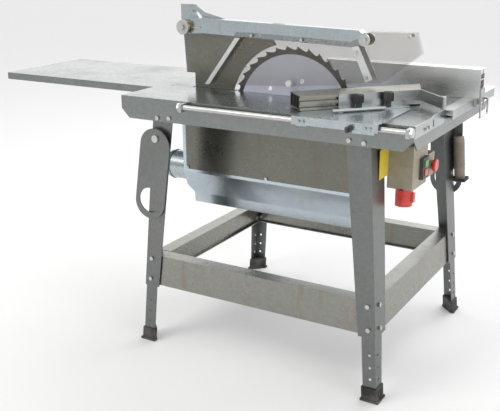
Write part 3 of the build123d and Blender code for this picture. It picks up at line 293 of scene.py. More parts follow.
def wear_nodes(g: Graph, start: bpy.types.Node, end: bpy.types.Node) -> None:
    """Handling marks: dust clouds, water runs and thin scratches.

    Args:
        g: the group's graph.
        start: group input node.
        end: group output node.
    """
    cloud = g.noise(start.outputs["Vector"], start.outputs["Scale"], 5.0, 0.6)
    g.link(g.remap(cloud, 0.45, 0.72), end.inputs["Dust"])
    fibre = g.noise(g.stretch(start.outputs["Vector"], (1.0, 1.0, 0.12)), g.math(
        "MULTIPLY", start.outputs["Scale"], 6.0), 3.0, 0.5)
    g.link(g.remap(fibre, 0.56, 0.74), end.inputs["Runs"])
    scratch = g.add("ShaderNodeTexVoronoi", feature="DISTANCE_TO_EDGE")
    g.link(g.stretch(start.outputs["Vector"], (1.0, 2.6, 0.7)), scratch.inputs["Vector"])
    g.link(g.math("MULTIPLY", start.outputs["Scale"], 4.0), scratch.inputs["Scale"])
    line = g.remap(scratch.outputs["Distance"], 0.0, 0.008, 1.0, 0.0)
    g.link(g.math("MULTIPLY", line, g.remap(cloud, 0.54, 0.66)), end.inputs["Scratches"])


def brush_nodes(g: Graph, start: bpy.types.Node, end: bpy.types.Node) -> None:
    """Long fine lines left by rolling, drawing or grinding.

    Args:
        g: the group's graph.
        start: group input node.
        end: group output node.
    """
    coarse = g.noise(start.outputs["Vector"], start.outputs["Scale"], 2.0, 0.5)
    fine = g.noise(start.outputs["Vector"], g.math("MULTIPLY", start.outputs["Scale"], 4.0), 2.0, 0.6)
    g.link(g.math("ADD", g.math("MULTIPLY", coarse, 0.5), g.math("MULTIPLY", fine, 0.5)),
           end.inputs["Lines"])


def grain_nodes(g: Graph, start: bpy.types.Node, end: bpy.types.Node) -> None:
    """Fine pebbled skin of moulded plastic, rubber and enamel.

    Args:
        g: the group's graph.
        start: group input node.
        end: group output node.
    """
    pebbles = g.add("ShaderNodeTexVoronoi", feature="SMOOTH_F1")
    g.link(start.outputs["Vector"], pebbles.inputs["Vector"])
    g.link(start.outputs["Scale"], pebbles.inputs["Scale"])
    g.link(pebbles.outputs["Distance"], end.inputs["Grain"])
    g.link(g.noise(start.outputs["Vector"], g.math("MULTIPLY", start.outputs["Scale"], 0.05), 4.0),
           end.inputs["Cloud"])


class Effects:
    """The shared effect groups."""

    spangle: EffectGroup
    wear: EffectGroup
    brush: EffectGroup
    grain: EffectGroup

    @classmethod
    def make(cls) -> None:
        """Builds every shared group once."""
        scale = [("Scale", "NodeSocketFloat", 60.0)]
        cls.spangle = EffectGroup("zinc_spangle", scale, ["Tone", "Facet", "Wave", "Relief"], spangle_nodes)
        cls.wear = EffectGroup("handling_marks", scale, ["Dust", "Runs", "Scratches"], wear_nodes)
        cls.brush = EffectGroup("draw_lines", scale, ["Lines"], brush_nodes)
        cls.grain = EffectGroup("moulded_grain", scale, ["Grain", "Cloud"], grain_nodes)


def rgba(colour: Colour) -> Tuple[float, float, float, float]:
    """Adds an opaque alpha to a colour."""
    return (colour[0], colour[1], colour[2], 1.0)


class Finish:
    """Base of the finishes: makes a material with one Principled shader."""

    name: str

    def start(self) -> Tuple[bpy.types.Material, Graph, bpy.types.Node, bpy.types.NodeSocket]:
        """Opens a new material.

        Returns:
            The material, its graph, its shader and its object coordinates.
        """
        material = bpy.data.materials.new(self.name)
        material.use_nodes = True
        graph = Graph(material.node_tree)
        shader = material.node_tree.nodes["Principled BSDF"]
        coords = graph.add("ShaderNodeTexCoord").outputs["Object"]
        return material, graph, shader, coords

    def bump(self, graph: Graph, shader: bpy.types.Node, height: bpy.types.NodeSocket, strength: float,
             depth: float) -> None:
        """Raises the surface by a height map.

        Args:
            graph: the material's graph.
            shader: the Principled shader.
            height: height value.
            strength: bump strength.
            depth: height of a full step in metres.
        """
        node = graph.add("ShaderNodeBump")
        node.inputs["Strength"].default_value = strength
        node.inputs["Distance"].default_value = depth
        graph.link(height, node.inputs["Height"])
        graph.link(node.outputs["Normal"], shader.inputs["Normal"])

    def build(self) -> bpy.types.Material:
        """Makes the material."""
        raise NotImplementedError


@dataclass(frozen=True)
class Galvanised(Finish):
    """Galvanised sheet with fine spangle, water runs, white dust and slight waves."""

    name: str
    dark: Colour = (0.27, 0.29, 0.30)
    light: Colour = (0.42, 0.45, 0.46)
    spangle: float = 110.0
    rough: Tuple[float, float] = (0.28, 0.42)
    dust: float = 0.20
    stain: Colour = (0.30, 0.26, 0.19)
    stained: float = 0.15
    wave: float = 0.0016
    metallic: float = 0.9

    def build(self) -> bpy.types.Material:
        """Makes the material.

        Returns:
            The material.
        """
        material, g, shader, coords = self.start()
        zinc = Effects.spangle.place(g, coords, Scale=self.spangle)
        marks = Effects.wear.place(g, coords, Scale=5.0)
        tone = g.mix(g.remap(zinc.outputs["Tone"], 0.2, 0.8), rgba(self.dark), rgba(self.light))
        pale = g.mix(g.math("MULTIPLY", marks.outputs["Dust"], self.dust), tone, WHITE_DUST)
        worn = g.mix(g.math("MULTIPLY", marks.outputs["Runs"], self.stained), pale, rgba(self.stain))
        g.link(g.mix(g.math("MULTIPLY", marks.outputs["Scratches"], 0.35), worn, BARE_SCRATCH),
               shader.inputs["Base Color"])
        rough = g.remap(zinc.outputs["Facet"], 0.0, 1.0, self.rough[0], self.rough[1])
        g.link(g.math("ADD", rough, g.math("MULTIPLY", marks.outputs["Dust"], 0.12)),
               shader.inputs["Roughness"])
        shader.inputs["Metallic"].default_value = self.metallic
        height = g.math("ADD", g.math("MULTIPLY", zinc.outputs["Relief"], 0.04), zinc.outputs["Wave"])
        self.bump(g, shader, height, 0.5, self.wave)
        return material


@dataclass(frozen=True)
class DrawnMetal(Finish):
    """Zinc-plated steel or aluminium with draw lines."""

    name: str
    dark: Colour = (0.55, 0.56, 0.57)
    light: Colour = (0.80, 0.81, 0.82)
    along: Point = (4.0, 60.0, 60.0)
    scale: float = 6.0
    rough: Tuple[float, float] = (0.22, 0.40)
    metallic: float = 0.95
    marks: float = 0.3

    def build(self) -> bpy.types.Material:
        """Makes the material.

        Returns:
            The material.
        """
        material, g, shader, coords = self.start()
        lines = Effects.brush.place(g, g.stretch(coords, self.along), Scale=self.scale).outputs["Lines"]
        marks = Effects.wear.place(g, coords, Scale=9.0)
        shine = g.remap(lines, 0.3, 0.7)
        base = g.mix(shine, rgba(self.dark), rgba(self.light))
        g.link(g.mix(g.math("MULTIPLY", marks.outputs["Dust"], self.marks), base, rgba(self.dark)),
               shader.inputs["Base Color"])
        g.link(g.math("ADD", g.remap(lines, 0.3, 0.7, self.rough[1], self.rough[0]),
                      g.math("MULTIPLY", marks.outputs["Dust"], 0.12)), shader.inputs["Roughness"])
        shader.inputs["Metallic"].default_value = self.metallic
        self.bump(g, shader, lines, 0.10, 0.0002)
        return material


@dataclass(frozen=True)
class Moulded(Finish):
    """Plastic, rubber or enamel with a fine skin and dust."""

    name: str
    colour: Colour
    faded: Colour
    rough: float = 0.45
    grain: float = 900.0
    relief: float = 0.15
    dust: float = 0.15
    coat: float = 0.0

    def build(self) -> bpy.types.Material:
        """Makes the material.

        Returns:
            The material.
        """
        material, g, shader, coords = self.start()
        skin = Effects.grain.place(g, coords, Scale=self.grain)
        marks = Effects.wear.place(g, coords, Scale=14.0)
        base = g.mix(g.remap(skin.outputs["Cloud"], 0.35, 0.68), rgba(self.colour), rgba(self.faded))
        g.link(g.mix(g.math("MULTIPLY", marks.outputs["Dust"], self.dust), base, GREY_DUST),
               shader.inputs["Base Color"])
        g.link(g.math("ADD", self.rough, g.math("MULTIPLY", marks.outputs["Dust"], 0.18)),
               shader.inputs["Roughness"])
        shader.inputs["Coat Weight"].default_value = self.coat
        shader.inputs["Coat Roughness"].default_value = 0.12
        self.bump(g, shader, skin.outputs["Grain"], self.relief, 0.0002)
        return material


@dataclass(frozen=True)
class ClearSheet(Finish):
    """Thin tinted clear sheet with a light haze and dust."""

    name: str
    tint: Colour = (0.20, 0.18, 0.14)
    opacity: float = 0.15
    haze: float = 0.05

    def build(self) -> bpy.types.Material:
        """Makes the material.

        Returns:
            The material.
        """
        material, g, shader, coords = self.start()
        marks = Effects.wear.place(g, coords, Scale=9.0)
        g.link(g.mix(g.math("MULTIPLY", marks.outputs["Dust"], 0.12), rgba(self.tint), SHEET_DUST),
               shader.inputs["Base Color"])
        g.link(g.math("ADD", self.haze, g.math("MULTIPLY", marks.outputs["Dust"], 0.08)),
               shader.inputs["Roughness"])
        shader.inputs["Metallic"].default_value = 0.0
        shader.inputs["Alpha"].default_value = self.opacity
        return material


@dataclass(frozen=True)
class BladeSteel(Finish):
    """Saw blade: pale printed body, ground darker rim and turned rings."""

    name: str
    centre: Point
    body: Colour = (0.66, 0.69, 0.80)
    rim: Colour = (0.045, 0.043, 0.040)
    rim_at: float = 0.199
    blend: float = 0.001
    rings: float = 900.0
    metallic: float = 0.35

    def build(self) -> bpy.types.Material:
        """Makes the material.

        Returns:
            The material.
        """
        material, g, shader, coords = self.start()
        flat = g.add("ShaderNodeVectorMath", operation="SUBTRACT")
        g.link(coords, flat.inputs[0])
        flat.inputs[1].default_value = self.centre
        split = g.add("ShaderNodeSeparateXYZ")
        g.link(flat.outputs["Vector"], split.inputs[0])
        across = g.math("MULTIPLY", split.outputs["X"], split.outputs["X"])
        upward = g.math("MULTIPLY", split.outputs["Z"], split.outputs["Z"])
        radius = g.math("SQRT", g.math("ADD", across, upward))
        rings = g.add("ShaderNodeTexNoise", noise_dimensions="1D")
        g.link(g.math("MULTIPLY", radius, self.rings), rings.inputs["W"])
        rings.inputs["Scale"].default_value = 1.0
        rings.inputs["Detail"].default_value = 2.0
        marks = Effects.wear.place(g, coords, Scale=12.0)
        edge = g.remap(radius, self.rim_at - self.blend, self.rim_at + self.blend)
        turned = g.mix(g.math("MULTIPLY", rings.outputs["Fac"], 0.30), rgba(self.body), BODY_RING)
        ground = g.mix(g.math("MULTIPLY", rings.outputs["Fac"], 0.5), rgba(self.rim), RIM_RING)
        both = g.mix(edge, turned, ground)
        g.link(g.mix(g.math("MULTIPLY", marks.outputs["Dust"], 0.2), both, BLADE_DUST),
               shader.inputs["Base Color"])
        g.link(g.remap(rings.outputs["Fac"], 0.2, 0.8, 0.30, 0.48), shader.inputs["Roughness"])
        shader.inputs["Metallic"].default_value = self.metallic
        self.bump(g, shader, rings.outputs["Fac"], 0.08, 0.0001)
        return material


class Finishes:
    """All finishes of the saw, built once."""

    def __init__(self) -> None:
        """Builds the shared groups and every material."""
        Effects.make()
        makers: List[Finish] = [
            Galvanised("galvanised_sheet", (0.22, 0.235, 0.235), (0.28, 0.295, 0.295),
                       rough=(0.26, 0.31), dust=0.05, wave=0.0010),
            Galvanised("galvanised_table", (0.20, 0.217, 0.213), (0.25, 0.271, 0.267), 95.0,
                       (0.20, 0.25), 0.05, wave=0.0008),
            # Upright legs, foot angles and carry handles: the same sheet as the table, made darker to paint
            # the shade on these vertical faces.
            Galvanised("galvanised_legs_painted_shade", (0.165, 0.175, 0.17), (0.215, 0.225, 0.22), 140.0,
                       (0.34, 0.40), 0.06, wave=0.0008),
            Galvanised("galvanised_rails", (0.24, 0.24, 0.22), (0.32, 0.32, 0.29), 110.0, (0.26, 0.32), 0.06,
                       (0.24, 0.18, 0.10), 0.55, 0.0010),
            Galvanised("galvanised_blue", (0.40, 0.45, 0.47), (0.48, 0.54, 0.57), 150.0, (0.22, 0.27), 0.04,
                       wave=0.0006),
            # Chip cover: painted shade. The dark tone stands for the dark surroundings that this sheet
            # mirrors; the brown stain colour is real staining.
            Galvanised("galvanised_cover_painted_shade", (0.15, 0.15, 0.13), (0.19, 0.19, 0.165), 150.0, (0.24, 0.29), 0.04,
                       (0.16, 0.13, 0.09), 0.30, 0.0008),
            # Chip casing: painted sheen. Its bright bluish tone stands for the floor reflected in the slanted
            # wall.
            Galvanised("galvanised_shell_painted_sheen", (0.44, 0.50, 0.55), (0.52, 0.59, 0.65), 150.0, (0.15, 0.19), 0.03,
                       wave=0.0008),
            DrawnMetal("zinc_plate", (0.36, 0.38, 0.38), (0.58, 0.60, 0.60)),
            DrawnMetal("zinc_bolts", (0.42, 0.42, 0.41), (0.74, 0.74, 0.71), (30.0, 30.0, 30.0), 9.0),
            DrawnMetal("ground_knife", (0.18, 0.18, 0.155), (0.22, 0.22, 0.195), (3.0, 24.0, 3.0), 5.0),
            DrawnMetal("mitre_aluminium", (0.27, 0.265, 0.225), (0.38, 0.37, 0.33), (6.0, 6.0, 90.0), 7.0),
            DrawnMetal("fence_aluminium", (0.80, 0.81, 0.80), (0.90, 0.91, 0.90), (3.0, 60.0, 90.0), 7.0),
            DrawnMetal("yellow_zinc", (0.42, 0.28, 0.12), (0.72, 0.55, 0.28), (30.0, 30.0, 30.0), 8.0),
            Moulded("boot_rubber", (0.012, 0.012, 0.013), (0.035, 0.034, 0.033), 0.62, 500.0, 0.3, 0.22),
            Moulded("black_plastic", (0.015, 0.015, 0.016), (0.04, 0.04, 0.042), 0.38, 900.0, 0.15, 0.10),
            Moulded("strap_webbing", (0.02, 0.02, 0.02), (0.05, 0.05, 0.05), 0.8, 380.0, 0.6, 0.2),
            Moulded("motor_enamel", (0.16, 0.18, 0.20), (0.22, 0.24, 0.26), 0.4, 700.0, 0.2, 0.3, 0.2),
            Moulded("beige_housing", (0.29, 0.255, 0.185), (0.35, 0.31, 0.23), 0.42, 800.0, 0.15, 0.15),
            Moulded("signal_red", (0.55, 0.02, 0.015), (0.70, 0.05, 0.03), 0.3, 900.0, 0.08, 0.06, 0.3),
            Moulded("start_green", (0.01, 0.28, 0.06), (0.02, 0.36, 0.09), 0.3, 900.0, 0.08, 0.05, 0.3),
            Moulded("stop_red", (0.50, 0.015, 0.01), (0.62, 0.03, 0.02), 0.3, 900.0, 0.08, 0.05, 0.3),
            Moulded("sign_yellow", (0.80, 0.58, 0.02), (0.88, 0.68, 0.06), 0.35, 600.0, 0.05, 0.15, 0.2),
            Moulded("white_nylon", (0.78, 0.78, 0.75), (0.88, 0.88, 0.85), 0.35, 900.0, 0.08, 0.05),
            Moulded("tube_tan", (0.20, 0.17, 0.13), (0.30, 0.26, 0.21), 0.55, 500.0, 0.25, 0.2),
            DrawnMetal("brazed_tips", (0.05, 0.048, 0.045), (0.14, 0.13, 0.12), (40.0, 40.0, 40.0), 9.0),
            ClearSheet("clear_hood"),
            Moulded("strap_acrylic", (0.62, 0.64, 0.63), (0.72, 0.74, 0.73), 0.12, 900.0, 0.03, 0.04),
            BladeSteel("blade_steel", tuple(BLADE_AT)),
        ]
        self.made: Dict[str, bpy.types.Material] = {maker.name: maker.build() for maker in makers}

    def dress(self, piece: bpy.types.Object, name: str) -> None:
        """Gives a piece one finish.

        Args:
            piece: object to dress.
            name: finish name.
        """
        piece.data.materials.clear()
        piece.data.materials.append(self.made[name])


NODE_FINISH: Dict[str, str] = {
    "table_top": "galvanised_table", "table_insert": "galvanised_sheet", "outfeed_table": "galvanised_table",
    "outfeed_supports": "galvanised_sheet", "legs": "galvanised_legs_painted_shade", "foot_angles": "galvanised_legs_painted_shade",
    "rubber_feet": "boot_rubber", "rails": "galvanised_rails", "frame_bolts": "zinc_bolts",
    "chip_casing": "galvanised_shell_painted_sheen", "chip_cover": "galvanised_cover_painted_shade", "extraction_port": "galvanised_blue",
    "motor_housing": "motor_enamel", "motor_stator": "motor_enamel", "motor_fan_cover": "black_plastic",
    "terminal_box": "motor_enamel", "riving_knife": "ground_knife", "knife_clamp": "zinc_plate",
    "arm_pivot": "zinc_bolts", "torsion_spring": "yellow_zinc", "stop_leaf": "zinc_plate",
    "slide_rod": "zinc_bolts", "rod_mounts": "zinc_plate", "end_plate": "zinc_plate",
    "guide_rail": "zinc_plate", "handle_pivots": "zinc_bolts", "switch_bracket": "galvanised_sheet",
    "switch_box": "beige_housing", "switch_frame": "black_plastic", "mains_inlet": "signal_red",
    "warning_plate": "sign_yellow", "rotor_shaft": "zinc_bolts", "motor_fan": "black_plastic",
    "blade_flanges": "zinc_bolts", "arbor_nut": "zinc_bolts", "saw_blade": "blade_steel",
    "guard_arm": "galvanised_blue", "sector_plate": "galvanised_blue", "guard_hood": "clear_hood",
    "hood_straps": "strap_acrylic", "hood_bolts": "zinc_bolts", "nylon_nuts": "white_nylon",
    "carriage_plate": "galvanised_blue", "carriage_blocks": "zinc_plate", "carriage_knob": "black_plastic",
    "mitre_bracket": "zinc_plate", "mitre_profile": "mitre_aluminium", "mitre_knob": "black_plastic",
    "star_knob": "black_plastic", "fence_profile": "fence_aluminium", "fence_clamp": "zinc_plate",
    "fence_lever": "zinc_bolts", "rail_knob": "black_plastic", "handle_left": "galvanised_legs_painted_shade",
    "handle_right": "galvanised_legs_painted_shade", "tool_tube": "tube_tan", "tool_strap": "strap_webbing",
    "start_button": "start_green", "stop_button": "stop_red", "estop_button": "signal_red",
}


# --------------------------------------------------------------------------
# Modelling helpers
# --------------------------------------------------------------------------
def clear_selection() -> None:
    """Leaves object mode with nothing selected."""
    if bpy.context.object and bpy.context.object.mode != "OBJECT":
        bpy.ops.object.mode_set(mode="OBJECT")
    bpy.ops.object.select_all(action="DESELECT")


def active() -> bpy.types.Object:
    """Returns the piece being modelled."""
    return bpy.context.view_layer.objects.active


def take(*pieces: bpy.types.Object) -> None:
    """Selects only these pieces and makes the first one active."""
    clear_selection()
    for piece in pieces:
        piece.select_set(True)
    bpy.context.view_layer.objects.active = pieces[0]


def add_round(radius: float, length: float, sides: int = 32) -> bpy.types.Object:
    """Adds a round bar along Z about the origin.

    Args:
        radius: bar radius.
        length: bar length.
        sides: facets round it.

    Returns:
        The bar.
    """
    clear_selection()
    bpy.ops.mesh.primitive_cylinder_add(vertices=sides, radius=radius, depth=length)
    return active()


def add_block(size: Point) -> bpy.types.Object:
    """Adds a block about the origin.

    Args:
        size: edge lengths.

    Returns:
        The block.
    """
    clear_selection()
    bpy.ops.mesh.primitive_cube_add(size=1.0)
    block = active()
    block.scale = size
    bpy.ops.object.transform_apply(location=False, rotation=False, scale=True)
    return block


def pick_faces(piece: bpy.types.Object, test: Callable[[Vector, Vector], bool]) -> None:
    """Enters edit mode with only the faces that pass a test selected.

    Args:
        piece: mesh to edit.
        test: takes a face's centre and normal.
    """
    take(piece)
    bpy.ops.object.mode_set(mode="EDIT")
    bpy.ops.mesh.select_mode(type="FACE")
    bpy.ops.mesh.select_all(action="DESELECT")
    cage = bmesh.from_edit_mesh(piece.data)
    for face in cage.faces:
        if test(face.calc_center_median(), face.normal):
            face.select = True
    bmesh.update_edit_mesh(piece.data)


def leave_edit() -> None:
    """Goes back to object mode."""
    bpy.ops.object.mode_set(mode="OBJECT")


def round_edges(piece: bpy.types.Object, width: float, segments: int = 2, angle: float = 40.0) -> None:
    """Bevels the sharp edges and applies it.

    Args:
        piece: mesh to bevel.
        width: bevel width.
        segments: steps in the bevel.
        angle: edges sharper than this are bevelled.
    """
    take(piece)
    bevel = piece.modifiers.new("round", "BEVEL")
    bevel.width = width
    bevel.segments = segments
    bevel.limit_method = "ANGLE"
    bevel.angle_limit = math.radians(angle)
    bpy.ops.object.modifier_apply(modifier=bevel.name)


def place(piece: bpy.types.Object, at: Point, turn: Point = (0.0, 0.0, 0.0)) -> None:
    """Puts a piece in place and bakes the place into its mesh.

    Args:
        piece: object to place.
        at: position.
        turn: rotation about X, Y and Z.
    """
    piece.data.transform(Matrix.Translation(Vector(at)) @ Euler(turn).to_matrix().to_4x4())
    piece.data.update()


def smooth(piece: bpy.types.Object, angle: float = 35.0) -> None:
    """Shades curved faces smooth and keeps corners sharp.

    Args:
        piece: mesh to shade.
        angle: sharp edge limit in degrees.
    """
    take(piece)
    bpy.ops.object.shade_smooth_by_angle(angle=math.radians(angle))


def copies(piece: bpy.types.Object, places: Sequence[Tuple[Point, Point]]) -> bpy.types.Object:
    """Repeats a piece at several places and joins the copies.

    Args:
        piece: pattern at the origin.
        places: position and rotation of each copy.

    Returns:
        The joined piece.
    """
    pieces = []
    for at, turn in places:
        twin = piece.copy()
        twin.data = piece.data.copy()
        bpy.context.scene.collection.objects.link(twin)
        place(twin, at, turn)
        pieces.append(twin)
    bpy.data.objects.remove(piece)
    take(*pieces)
    if len(pieces) > 1:
        bpy.ops.object.join()
    return active()


@dataclass
class SubAssembly:
    """Shared way of finishing a piece."""

    finishes: Finishes

    def finish(self, piece: bpy.types.Object, name: str, look: str, body: str, slot: str,
               replaces: Sequence[str] = ()) -> None:
        """Names, dresses and attaches a piece.

        Args:
            piece: the modelled object.
            name: piece name.
            look: finish name.
            body: body that it rides on.
            slot: material slot name; not used.
            replaces: CAD nodes that it stands for.
        """
        smooth(piece)
        piece.name = name
        piece.data.name = name
        self.finishes.dress(piece, look)
        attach(piece, body)
        if replaces:
            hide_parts(*replaces)
        LOG.info("%s: %d faces on %s", name, len(piece.data.polygons), body)


@dataclass
class BladeDetail(SubAssembly):
    """Brazed carbide tips of the blade."""

    radius: float = 0.225
    teeth: int = 36
    lead: float = 0.615
    tip: Point = (0.0030, 0.0040, 0.009)

    def build(self) -> None:
        """Makes the tips, one per tooth."""
        low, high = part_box("saw_blade")
        across = (low.y + high.y) / 2
        tip = add_block(self.tip)
        round_edges(tip, 0.0004, 1)
        spots = []
        for k in range(self.teeth):
            angle = 2 * math.pi * (k + self.lead) / self.teeth
            r = self.radius - self.tip[2] / 2 - 0.0008
            at = (BLADE_AT.x + r * math.cos(angle), across, BLADE_AT.z + r * math.sin(angle))
            spots.append((at, (0.0, math.pi / 2 - angle, 0.0)))
        self.finish(copies(tip, spots), "carbide_tips", "brazed_tips", "blade", "blade_steel")


@dataclass
class SpringDetail(SubAssembly):
    """Wound torsion spring beside the guard's pivot."""

    coil: float = 0.0190
    wire: float = 0.0014
    turns: int = 4
    pitch: float = 0.0030
    leg: float = 0.045
    overlap: float = 0.003
    steps: int = 28
    sides: int = 10

    def build(self) -> None:
        """Winds the coil with a screw modifier and adds its leg."""
        clear_selection()
        bpy.ops.mesh.primitive_circle_add(vertices=self.sides, radius=self.wire,
                                          location=(self.coil, 0.0, 0.0), rotation=Axis.Y.value)
        spring = active()
        bpy.ops.object.transform_apply(location=True, rotation=True, scale=True)
        screw = spring.modifiers.new("wind", "SCREW")
        screw.screw_offset = self.pitch
        screw.iterations = self.turns
        screw.steps = self.steps
        screw.render_steps = self.steps
        screw.use_merge_vertices = True
        bpy.ops.object.modifier_apply(modifier=screw.name)
        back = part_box("guard_arm")[0].y - 2 * self.wire
        place(spring, (PIVOT_AT.x, back, PIVOT_AT.z), Axis.Y.value)
        rod = add_round(self.wire, self.leg, self.sides)
        place(rod, (PIVOT_AT.x + self.coil + self.leg / 2 - self.overlap, back, PIVOT_AT.z), Axis.X.value)
        take(spring, rod)
        bpy.ops.object.join()
        bpy.ops.object.mode_set(mode="EDIT")
        bpy.ops.mesh.select_all(action="SELECT")
        bpy.ops.mesh.normals_make_consistent(inside=False)
        leave_edit()
        self.finish(spring, "wound_spring", "yellow_zinc", "base", "brass", ["torsion_spring"])


@dataclass
class FeetDetail(SubAssembly):
    """Moulded ribs round the rubber feet."""

    height: float = 0.045
    rib: Point = (0.0022, 0.0016, 0.030)
    sunk: float = 0.0055
    steps: Tuple[float, ...] = (0.012, 0.026, 0.040)
    level: float = 0.52

    def build(self) -> None:
        """Makes two ribs on each outer face of each foot."""
        low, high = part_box("rubber_feet")
        rib = add_block(self.rib)
        round_edges(rib, 0.0006, 2)
        spots = []
        mid = (low + high) / 2
        up = self.height * self.level
        for sx in (-1, 1):
            for sy in (-1, 1):
                edge_y = mid.y + sy * (high.y - mid.y - self.sunk)
                edge_x = mid.x + sx * (high.x - mid.x - self.sunk)
                for step in self.steps:
                    spots.append(((edge_x - sx * step, edge_y, up), (0.0, 0.0, 0.0)))
                    spots.append(((edge_x, edge_y - sy * step, up), (0.0, 0.0, math.pi / 2)))
        self.finish(copies(rib, spots), "foot_ribs", "boot_rubber", "base", "rubber")


@dataclass
class Knob(SubAssembly):
    """Lobed hand knob along Z that replaces a plain one; shares are of its length or radius."""

    node: str
    body: str
    lobes: int
    stem: float = 0.0090
    head_share: float = 0.52
    root_share: float = 0.86
    inset_share: float = 0.28
    edge_share: float = 0.10
    dome_share: float = 0.12
    swell: float = 1.14
    facets: int = 8

    def build(self) -> None:
        """Makes the knob inside its node's box."""
        low, high = (Vector(corner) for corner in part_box(self.node))
        length = high[2] - low[2]
        radius = (high[0] - low[0]) / 2
        head = length * self.head_share
        dome = head * self.dome_share
        around = self.lobes * self.facets
        knob = add_round(radius * self.root_share, head, around)
        pick_faces(knob, lambda c, n: abs(n.z) < 0.5 and int(round(
            math.atan2(c.y, c.x) / (2 * math.pi) * around - 0.5)) % self.facets in (0, 1, 7))
        bpy.ops.transform.resize(value=(self.swell, self.swell, 1.0))
        leave_edit()
        pick_faces(knob, lambda c, n: n.z > 0.9)
        bpy.ops.mesh.inset(thickness=radius * self.inset_share)
        bpy.ops.transform.translate(value=(0.0, 0.0, dome))
        leave_edit()
        round_edges(knob, radius * self.edge_share, 2, 30.0)
        place(knob, (0.0, 0.0, length / 2 - head / 2 - dome))
        stem = add_round(self.stem, length - head, 24)
        round_edges(stem, 0.0005, 1)
        place(stem, (0.0, 0.0, -length / 2 + (length - head) / 2))
        take(knob, stem)
        bpy.ops.object.join()
        place(knob, tuple((low + high) / 2))
        self.finish(knob, self.node + "_grip", "black_plastic", self.body, "black_plastic", [self.node])


@dataclass
class TableDetail(SubAssembly):
    """Countersunk screws of the table insert."""

    top: float = 0.850
    head: Tuple[float, float] = (0.0055, 0.0012)
    socket: Tuple[float, float] = (0.003, 0.0008)
    proud: float = 0.0002
    end: float = 0.012
    along: float = 0.25
    side: float = 0.008

    def build(self) -> None:
        """Makes the insert's screw heads with their sunk sockets."""
        head = add_round(self.head[0], self.head[1], 32)
        pick_faces(head, lambda c, n: n.z > 0.9)
        bpy.ops.mesh.inset(thickness=self.socket[0])
        bpy.ops.transform.translate(value=(0.0, 0.0, -self.socket[1]))
        leave_edit()
        round_edges(head, 0.0003, 2, 30.0)
        low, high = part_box("table_insert")
        spots = []
        for x in (low[0] + self.end, low[0] + self.along, high[0] - self.along, high[0] - self.end):
            for y in (low[1] + self.side, high[1] - self.side):
                spots.append(((x, y, self.top + self.proud), (0.0, 0.0, 0.0)))
        self.finish(copies(head, spots), "insert_screws", "zinc_bolts", "base", "zinc")


@dataclass
class ChipBoxDetail(SubAssembly):
    """Rolled hose bead at the end of the suction port."""

    bead: float = 0.003
    ring: float = 0.050
    from_end: float = 0.012

    def build(self) -> None:
        """Makes the bead."""
        port_low, port_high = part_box("extraction_port")
        clear_selection()
        bpy.ops.mesh.primitive_torus_add(major_radius=self.ring, minor_radius=self.bead,
                                         major_segments=72, minor_segments=10)
        bead = active()
        pick_faces(bead, lambda c, n: math.hypot(c.x, c.y) < 0.0490)
        bpy.ops.transform.resize(value=(1.005, 1.005, 1.0))
        leave_edit()
        centre = (port_low + port_high) / 2
        place(bead, (port_low.x + self.from_end, centre.y, centre.z), Axis.X.value)
        self.finish(bead, "hose_bead", "galvanised_sheet", "base", "galvanised")


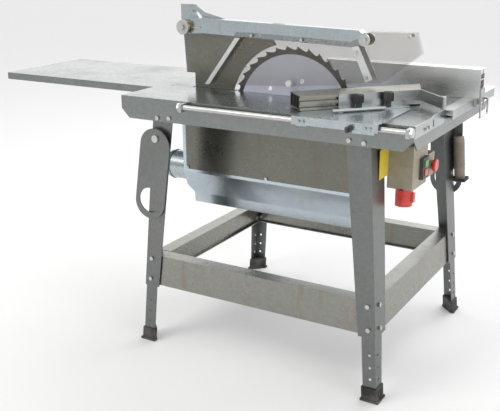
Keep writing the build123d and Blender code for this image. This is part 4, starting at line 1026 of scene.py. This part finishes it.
@dataclass
class Studio:
    """Floor, lights and camera; places are from the middle of the table, heights from the floor."""

    eye: Point = (1.2398, -2.4713, 1.3380)
    aim_height: float = 0.6
    sensor: float = 36.0
    behind: float = 1.55
    front: float = 0.5
    yaw: float = 0.537
    pitch: float = 0.312
    roll: float = -0.008
    lens: float = 59.98

    def floor(self) -> None:
        """Lays the plain pale floor."""
        clear_selection()
        bpy.ops.mesh.primitive_plane_add(size=60.0)
        floor = active()
        floor.name = "floor"
        material = bpy.data.materials.new("pale_floor")
        material.use_nodes = True
        shader = material.node_tree.nodes["Principled BSDF"]
        shader.inputs["Base Color"].default_value = (0.86, 0.86, 0.86, 1.0)
        shader.inputs["Roughness"].default_value = 0.9
        floor.data.materials.append(material)

    def light(self, name: str, at: Point, size: float, power: float, colour: Colour) -> None:
        """Adds one soft area light aimed at the saw.

        Args:
            name: light name.
            at: position.
            size: edge of the panel.
            power: watts.
            colour: light colour.
        """
        data = bpy.data.lights.new(name, "AREA")
        data.size = size
        data.energy = power
        data.color = colour
        lamp = bpy.data.objects.new(name, data)
        stand = middle("table_top")
        lamp.location = Vector((stand.x + at[0], stand.y + at[1], at[2]))
        aim = Vector((stand.x, stand.y, self.aim_height)) - lamp.location
        lamp.rotation_euler = aim.to_track_quat("-Z", "Y").to_euler()
        bpy.context.scene.collection.objects.link(lamp)

    def build(self) -> None:
        """Makes the whole studio."""
        self.floor()
        world = bpy.data.worlds.new("studio")
        world.use_nodes = True
        g = Graph(world.node_tree)
        split = g.add("ShaderNodeSeparateXYZ")
        g.link(g.add("ShaderNodeTexCoord").outputs["Generated"], split.inputs[0])
        sweep = g.remap(split.outputs["Y"], -0.5, 0.8, self.front, self.behind)
        background = world.node_tree.nodes["Background"]
        background.inputs["Color"].default_value = (1.0, 1.0, 1.0, 1.0)
        g.link(sweep, background.inputs["Strength"])
        bpy.context.scene.world = world
        self.light("key", (-1.8, -3.2, 3.6), 2.4, 70.0, (1.0, 0.98, 0.95))
        self.light("fill", (3.6, -2.0, 2.2), 2.6, 25.0, (0.94, 0.97, 1.0))
        self.light("rim", (0.5, 3.6, 3.0), 2.4, 60.0, (1.0, 1.0, 1.0))
        data = bpy.data.cameras.new("camera")
        data.lens = self.lens
        data.sensor_width = self.sensor
        data.sensor_fit = "HORIZONTAL"
        camera = bpy.data.objects.new("camera", data)
        turn = (Matrix.Rotation(self.yaw, 3, "Z") @ Matrix.Rotation(math.pi / 2 - self.pitch, 3, "X")
                @ Matrix.Rotation(self.roll, 3, "Z"))
        camera.rotation_euler = turn.to_euler()
        stand = middle("table_top")
        camera.location = (stand.x + self.eye[0], stand.y + self.eye[1], self.eye[2])
        bpy.context.scene.collection.objects.link(camera)
        bpy.context.scene.camera = camera
        bpy.context.scene.view_settings.view_transform = "Standard"


def main() -> None:
    """Builds every sub-assembly in order."""
    logging.basicConfig(level=logging.INFO, format="%(message)s")
    Studio().build()
    finishes = Finishes()
    for name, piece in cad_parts.items():
        finishes.dress(piece, NODE_FINISH[name])
    BladeDetail(finishes).build()
    SpringDetail(finishes).build()
    FeetDetail(finishes).build()
    Knob(finishes, "star_knob", "pivot_screw", 6).build()
    Knob(finishes, "mitre_knob", "mitre_screw", 9).build()
    Knob(finishes, "rail_knob", "rail_screw", 8, 0.0035).build()
    TableDetail(finishes).build()
    ChipBoxDetail(finishes).build()


if __name__ == "__main__":
    main()
